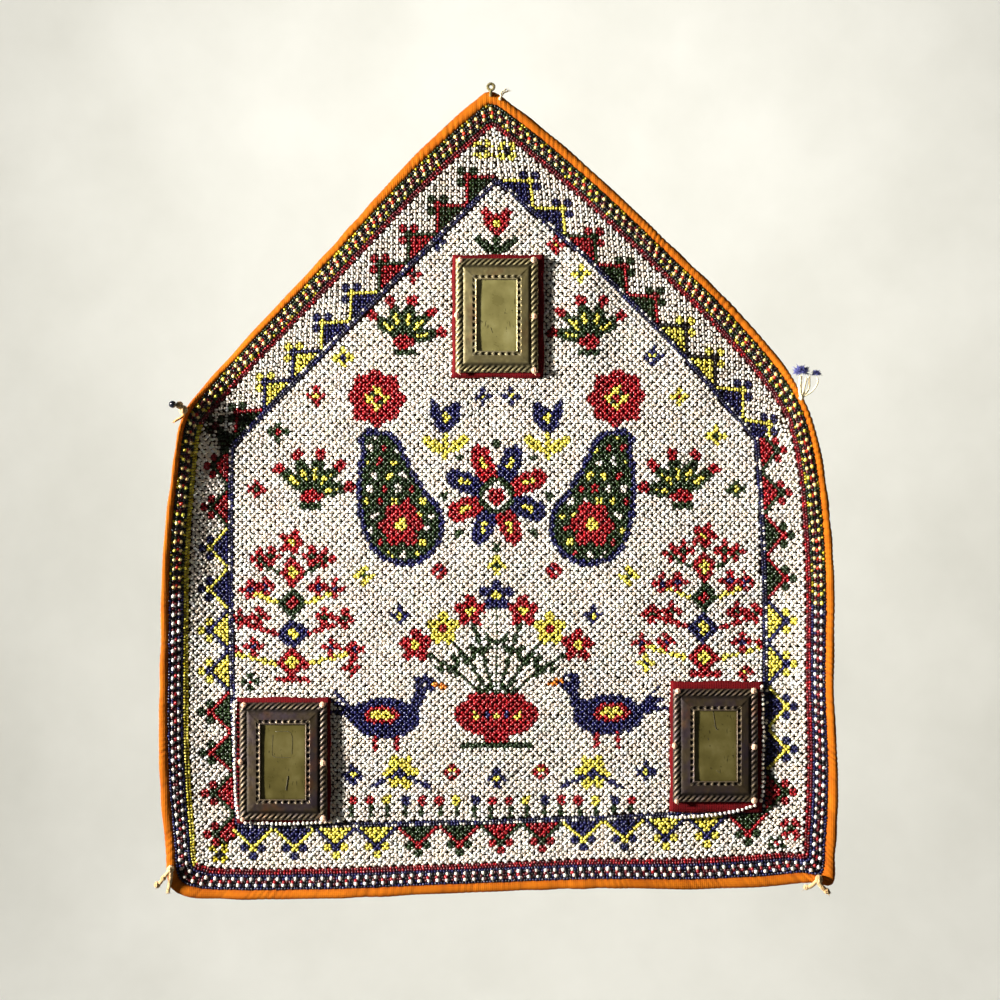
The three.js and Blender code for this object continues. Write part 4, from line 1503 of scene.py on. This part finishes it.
def add_frame_stitches(name):
    """The threads that hold a frame: a turned knot at each side and a tab over each corner."""
    row = MIRRORS[name]
    left, right, top, foot = rectangle_box(row)
    base = frame_plane(row)
    middle = (top + foot) / 2
    spots = [
        (left + 1.0, middle, 2.1),
        (right - 2.6, middle - 0.8, 2.3),
        (left + 3.2, top - 1.4, 2.1),
        (right - 3.0, top - 1.2, 2.3),
        (left + 2.4, foot + 0.8, 1.7),
        (right - 2.6, foot + 1.4, 2.4),
    ]
    parts = []
    for number, (x, z, radius) in enumerate(spots):
        centre = np.array([x, LOOP_FRONT - base - 2.7, z])
        for wrap in range(3):
            turns = np.linspace(0, 2 * math.pi, 13)
            lean = 0.5 + wrap * 1.05 + number
            across = np.cos(turns)
            flat = np.stack([across * math.cos(lean), across * math.sin(lean) * 0.5, np.sin(turns)], 1)
            parts.append(tube(centre + flat * radius * 0.5, radius * 0.44, 6))
        tail = [centre, centre + [0.6, 0.6, -radius], centre + [1.0, 1.8, -radius * 1.5]]
        parts.append(tube(np.array(tail), [0.4, 0.35, 0.15], 5))
    points, groups = joined(parts)
    made = new_object(f"frame_stitches_{name}", points, groups, COPPER_THREAD)
    return made



STRING_PITCH = 3.0
STRING_OUT = 5.0
STRING_BEAD = (1.2, 1.3)
# Strings of white beads beside the pads: the places they run through.
BEAD_STRINGS = [
    [(180.0, -397), (181.0, -425), (180.8, -450), (180.6, -470), (179.2, -476.0)],
    [(177.0, -477.8), (165, -481.4), (150, -484.2), (134, -485.6), (119, -486.0)],
    [(-170.6, -408), (-170.4, -440), (-169.6, -470), (-167.6, -487.4)],
    [(-164.5, -489.6), (-140, -490.4), (-118, -489.8), (-100, -488.4)],
]


def add_bead_strings():
    rows = []
    for string in BEAD_STRINGS:
        line = smooth_line([(x, 0, z) for x, z in string], 10)[:, (0, 2)]
        run = run_of(line)
        count = round(run[-1] / STRING_PITCH)
        place = place_at((np.arange(count) + 0.5) / count * run[-1], run, line)
        rows.append((place, unit(np.gradient(place, axis=0)), np.full(count, WHITE)))
    made = add_net("pad_bead_strings", *stacked(rows), STRING_OUT, 0.0, STRING_BEAD, sides=6)
    return made


# The loop, the ties and the tufts.


def tie_line(places):
    """A soft line through x, z and height off the cloth."""
    return smooth_line([on_cloth(*place) for place in places])


def knot(x, z, out, radius, lean=0.6):
    """A knot: three turns of cord wound over each other."""
    centre = on_cloth(x, z, out)
    turns = np.linspace(0, 2 * math.pi, 17)
    flat = np.stack([np.cos(turns), np.zeros(17), np.sin(turns)], 1) * radius * 0.62
    parts = []
    for k in range(3):
        across, back = math.cos(lean + k * math.pi / 3), math.sin(lean + k * math.pi / 3)
        around = np.array([[across, back, 0], [-back, across, 0], [0, 0, 1]])
        parts.append(tube(centre + flat @ around.T, radius * 0.4, 7))
    return parts


def add_cord_piece(name, parts, material, node):
    made = new_object(name, *joined(parts), material)
    if node:
        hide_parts(node)
    return made


def frayed(line, radius, hairs, spread, length):
    """Fine fibres that fan out of the end of a cord."""
    end, direction = line[-1], unit(line[-1] - line[-3])
    parts = []
    for _ in range(hairs):
        way = unit(direction + chance.normal(0, spread, 3))
        reach = length * chance.uniform(0.5, 1.0)
        start = end - direction * radius + chance.normal(0, radius * 0.35, 3)
        bend = chance.normal(0, 0.2, 3)
        fibre = np.array([start, start + way * reach * 0.5, start + (way + bend) * reach])
        parts.append(tube(fibre, [0.14, 0.12, 0.05], 3))
    return parts


def tuft(x, z, out, radius, tall, hairs, length, flare):
    """A dense head of yarn fibres standing up and out of its root."""
    centre = on_cloth(x, z, out)
    parts = []
    golden = math.pi * (3 - math.sqrt(5))
    for i in range(hairs):
        share = (i + 0.5) / hairs
        rise = 1 - 1.35 * share
        level = math.sqrt(max(1 - rise * rise, 0))
        turn = i * golden
        way = np.array([level * math.cos(turn), level * math.sin(turn) * 0.8, rise * 0.9 + 0.1])
        way /= np.linalg.norm(way)
        reach = radius * chance.uniform(0.75, 1.0) + length * chance.uniform(0.1, flare)
        bend = chance.normal(0, 0.16, 3) + [0, 0, -0.1]
        root = centre + way * radius * 0.1
        tip = centre + (way + bend) * reach * np.array([1, 1, tall / radius])
        half = centre + way * reach * 0.6 * np.array([1, 1, tall / radius])
        parts.append(tube(np.array([root, half, tip]), [0.34, 0.32, 0.1], 4))
    return parts


def add_apex_threads():
    turns = np.linspace(0, 2 * math.pi, 33)
    eye = np.stack([np.cos(turns) * 2.1, 0.15 * np.sin(turns * 2), np.sin(turns) * 2.1], 1)
    neck = tie_line([(0.2, -2.4, 3.2), (-0.2, -4.2, 3.6), (-0.4, -6.4, 3.7)])
    loop = twisted(eye, 1.0, 3, 3.3) + twisted(neck, 0.95, 3, 3.3)
    one = tie_line([(6.2, -7.8, 3.6), (8.4, -4.2, 3.4), (11.2, -2.8, 2.6)])
    two = tie_line([(6.4, -7.6, 3.6), (7, -3.8, 4), (9, -2.2, 3.4)])
    thread = twisted(one, 0.65, 2, 2.4) + twisted(two, 0.55, 2, 2.4) + knot(6.2, -8, 3.6, 1.2)
    thread += frayed(one, 0.5, 14, 0.3, 3.0) + frayed(two, 0.5, 12, 0.35, 2.6)
    return [
        add_cord_piece("hanging_loop_thread", loop, OLIVE_THREAD, "hanging_loop"),
        add_cord_piece("apex_thread_end", thread, CREAM_THREAD, "apex_thread"),
    ]


def add_left_tie():
    knots = knot(-202.2, -215.8, 4.5, 3.0) + knot(-204.6, -212.8, 4.6, 2.6, 0.2)
    end = tie_line([(-200.8, -216.4, 4.2), (-202.6, -220.2, 4.4), (-207.6, -223.6, 3.4)])
    tail = twisted(end, 0.95, 3, 3.2) + frayed(end, 0.7, 18, 0.35, 2.2)
    half_turn = np.linspace(0, math.pi, 13)
    axis = np.stack([np.cos(half_turn) * 2.1, np.zeros(13), np.cos(half_turn)], 1)
    bead = tube(on_cloth(-208.6, -212.4, 5.4) + axis, np.maximum(np.sin(half_turn) * 2.5, 0.7), 16)
    return [
        add_cord_piece("left_tie_knot", knots, TAN_THREAD, "left_tie_cord"),
        add_cord_piece("left_tie_tail", tail, ORANGE_THREAD, None),
        add_cord_piece("left_tie_dark_bead", [bead], DARK_GLASS, "left_tie_bead"),
    ]


# The strands of the right shoulder's tie: radius, and the places each runs through.
RIGHT_STRANDS = [
    (1.35, [(205.6, -207, 4.6), (204.8, -201, 4.6), (205.2, -193.2, 4.4)]),
    (1.0, [(206.4, -206.6, 4.4), (210.4, -201, 3.8), (210.8, -193.4, 3.8)]),
    (0.6, [(206.4, -207, 4.6), (212.8, -203, 4), (216.4, -197.4, 3.8), (215.8, -193.6, 3.4)]),
    (0.8, [(206.0, -206.4, 4.8), (207.6, -200, 4.9), (209.0, -194.4, 4.6)]),
]


def add_right_tie():
    lines = [tie_line(places) for _, places in RIGHT_STRANDS]
    cream = knot(205.8, -207.2, 4.6, 1.9)
    for (radius, _), line in zip(RIGHT_STRANDS, lines):
        cream += twisted(line, radius, 3, 3.6)
    cream += frayed(lines[0], 1.0, 20, 0.35, 2.4) + frayed(lines[1], 0.8, 16, 0.35, 2.2)
    big = tuft(205.4, -190.4, 4.6, 3.9, 3.5, 320, 2.2, 1.0)
    small = tuft(215.6, -191.6, 3.4, 2.1, 2.1, 150, 1.4, 1.0)
    return [
        add_cord_piece("right_tie_strands", cream, CREAM_THREAD, "right_tie_cord"),
        add_cord_piece("right_tie_yarn", big, BLUE_YARN, "right_tie_tuft"),
        add_cord_piece("right_tie_small_yarn", small, BLUE_YARN, "right_tie_small_tuft"),
    ]


# The corner ties: their knots, the radius and places of each end, the twist, and the fraying.
CORNER_TIES = {
    "lower_left_tie": (
        [(-212.6, -520, 5, 2.6), (-221.6, -530.6, 3.4, 2.3), (-217.4, -526, 4.6, 1.9, 1.4)],
        [
            (1.5, [(-212.8, -520, 4.6), (-217.2, -526, 4.4), (-222, -532, 3)]),
            (1.5, [(-212.4, -520, 4.6), (-213, -527.4, 4.6), (-214.8, -536, 3.2)]),
        ],
        3.8,
        (1.1, 26, 0.34, 3.0),
    ),
    "lower_right_tie": (
        [(217.6, -526.4, 5, 2.8), (222.6, -534.4, 4.0, 2.1, 1.2), (209.4, -532.4, 3.9, 1.9, 0.2)],
        [
            (1.725, [(216, -527, 4.6), (220, -532.2, 4.4), (224.4, -536, 3.4)]),
            (1.495, [(217, -527, 4.6), (212.6, -531.4, 4.4), (208.8, -532.6, 3.6)]),
        ],
        4.0,
        (1.2, 26, 0.36, 3.0),
    ),
}


def add_corner_tie(node):
    knots, ends, turn_length, fraying = CORNER_TIES[node]
    cords = [part for row in knots for part in knot(*row)]
    for radius, places in ends:
        line = tie_line(places)
        cords += twisted(line, radius, 3, turn_length) + frayed(line, *fraying)
    return add_cord_piece(f"{node}_cords", cords, TAN_THREAD, node)


# The camera: straight on, at the middle of the photograph's frame.
CAMERA_X = 6.0
CAMERA_Z = -275.1
FRAME_WIDE = 666.0
LENS = 70.0
SENSOR = 36.0


def add_camera():
    camera = bpy.data.cameras.new("camera")
    camera.lens = LENS
    camera.sensor_width = SENSOR
    away = FRAME_WIDE * LENS / SENSOR * MM
    made = bpy.data.objects.new("camera", camera)
    made.location = (CAMERA_X * MM, -away, CAMERA_Z * MM)
    made.rotation_euler = (math.pi / 2, 0, 0)
    bpy.context.scene.collection.objects.link(made)
    bpy.context.scene.camera = made


# The lights: place, aim and size in metres, watts, colour, and spread in degrees.
LIGHTS = {
    "key": ((-2.2, -0.86, 0.1), (0.02, 0, -0.28), 0.24, 20.5, (1.0, 0.965, 0.9), 50),
    "fill": ((0.9, -2.2, 0.5), (0, 0, -0.28), 1.6, 0.7, (1.0, 0.93, 0.82)),
    "back": ((-0.8, 1.5, 0.9), (0, 0, -0.28), 1.2, 10),
    "backdrop": ((0.0, 0.5, 0.7), (0.0, 2.6, -0.4), 1.8, 58, (1.0, 0.99, 0.955)),
}
WORLD_COLOUR = (1.0, 0.96, 0.9, 1)
WORLD_STRENGTH = 0.06


def add_light(name, place, aim, size, power, colour=(1, 1, 1), spread=180):
    light = bpy.data.lights.new(name, "AREA")
    light.shape = "DISK"
    light.size = size
    light.spread = math.radians(spread)
    light.energy = power
    light.color = colour
    made = bpy.data.objects.new(name, light)
    made.location = place
    direction = np.array(aim, float) - np.array(place, float)
    tilt = math.atan2(math.hypot(direction[0], direction[1]), -direction[2])
    made.rotation_euler = (tilt, 0, math.atan2(direction[1], direction[0]) - math.pi / 2)
    bpy.context.scene.collection.objects.link(made)


def add_stage():
    """A pale floor that turns up into a pale upright, far behind the hanging."""
    bend, low, far = 0.8, -1.45, 2.6
    curve = [(-3.2, low), (far - bend, low)]
    curve += [
        (far - bend + bend * math.sin(a), low + bend - bend * math.cos(a))
        for a in np.linspace(0.1, math.pi / 2, 14)
    ]
    curve += [(far, 2.4)]
    left, right = -3.4, 3.4
    points = [(x * 1000, y * 1000, z * 1000) for x in (left, right) for y, z in curve]
    count = len(curve)
    faces = np.array([(i, i + 1, count + i + 1, count + i) for i in range(count - 1)])
    nodes = Nodes("pale_card")
    nodes.colour(nodes.ramp(nodes.noise(3, 4), [(0.3, (228, 227, 219)), (0.7, (240, 239, 232))]))
    nodes.rough(nodes.range(nodes.noise(20, 3), 0.82, 0.95))
    made = new_object("pale_stage", np.array(points), [faces[:, ::-1]], nodes.material)


def set_look():
    """Show colours as the camera's own picture does, without a film curve."""
    bpy.context.scene.view_settings.view_transform = "Standard"


def add_world():
    world = bpy.data.worlds.new("soft_daylight")
    world.use_nodes = True
    sky = world.node_tree.nodes["Background"]
    sky.inputs["Color"].default_value = WORLD_COLOUR
    sky.inputs["Strength"].default_value = WORLD_STRENGTH
    bpy.context.scene.world = world


add_camera()
set_look()
add_stage()
add_world()
for light_name, light_row in LIGHTS.items():
    add_light(light_name, *light_row)

ground = add_ground()
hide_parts("ground_cloth")
roll = add_binding()
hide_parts("binding")
on_the_cloth = [roll, *add_border_net(), add_border_line(), add_rim(), *add_field_net()]
for mirror_name in MIRRORS:
    add_pad(mirror_name)
    add_frame(mirror_name, *((LIGHT_METAL, 1.15) if mirror_name == "top" else (DARK_METAL, 1.4)))
    add_mirror(mirror_name, LIGHT_MIRROR if mirror_name == "top" else DARK_MIRROR)
    on_the_cloth.append(add_frame_stitches(mirror_name))
add_scratches()
on_the_cloth.append(add_bead_strings())
on_the_cloth += [*add_apex_threads(), *add_left_tie(), *add_right_tie()]
on_the_cloth += [add_corner_tie(node) for node in CORNER_TIES]
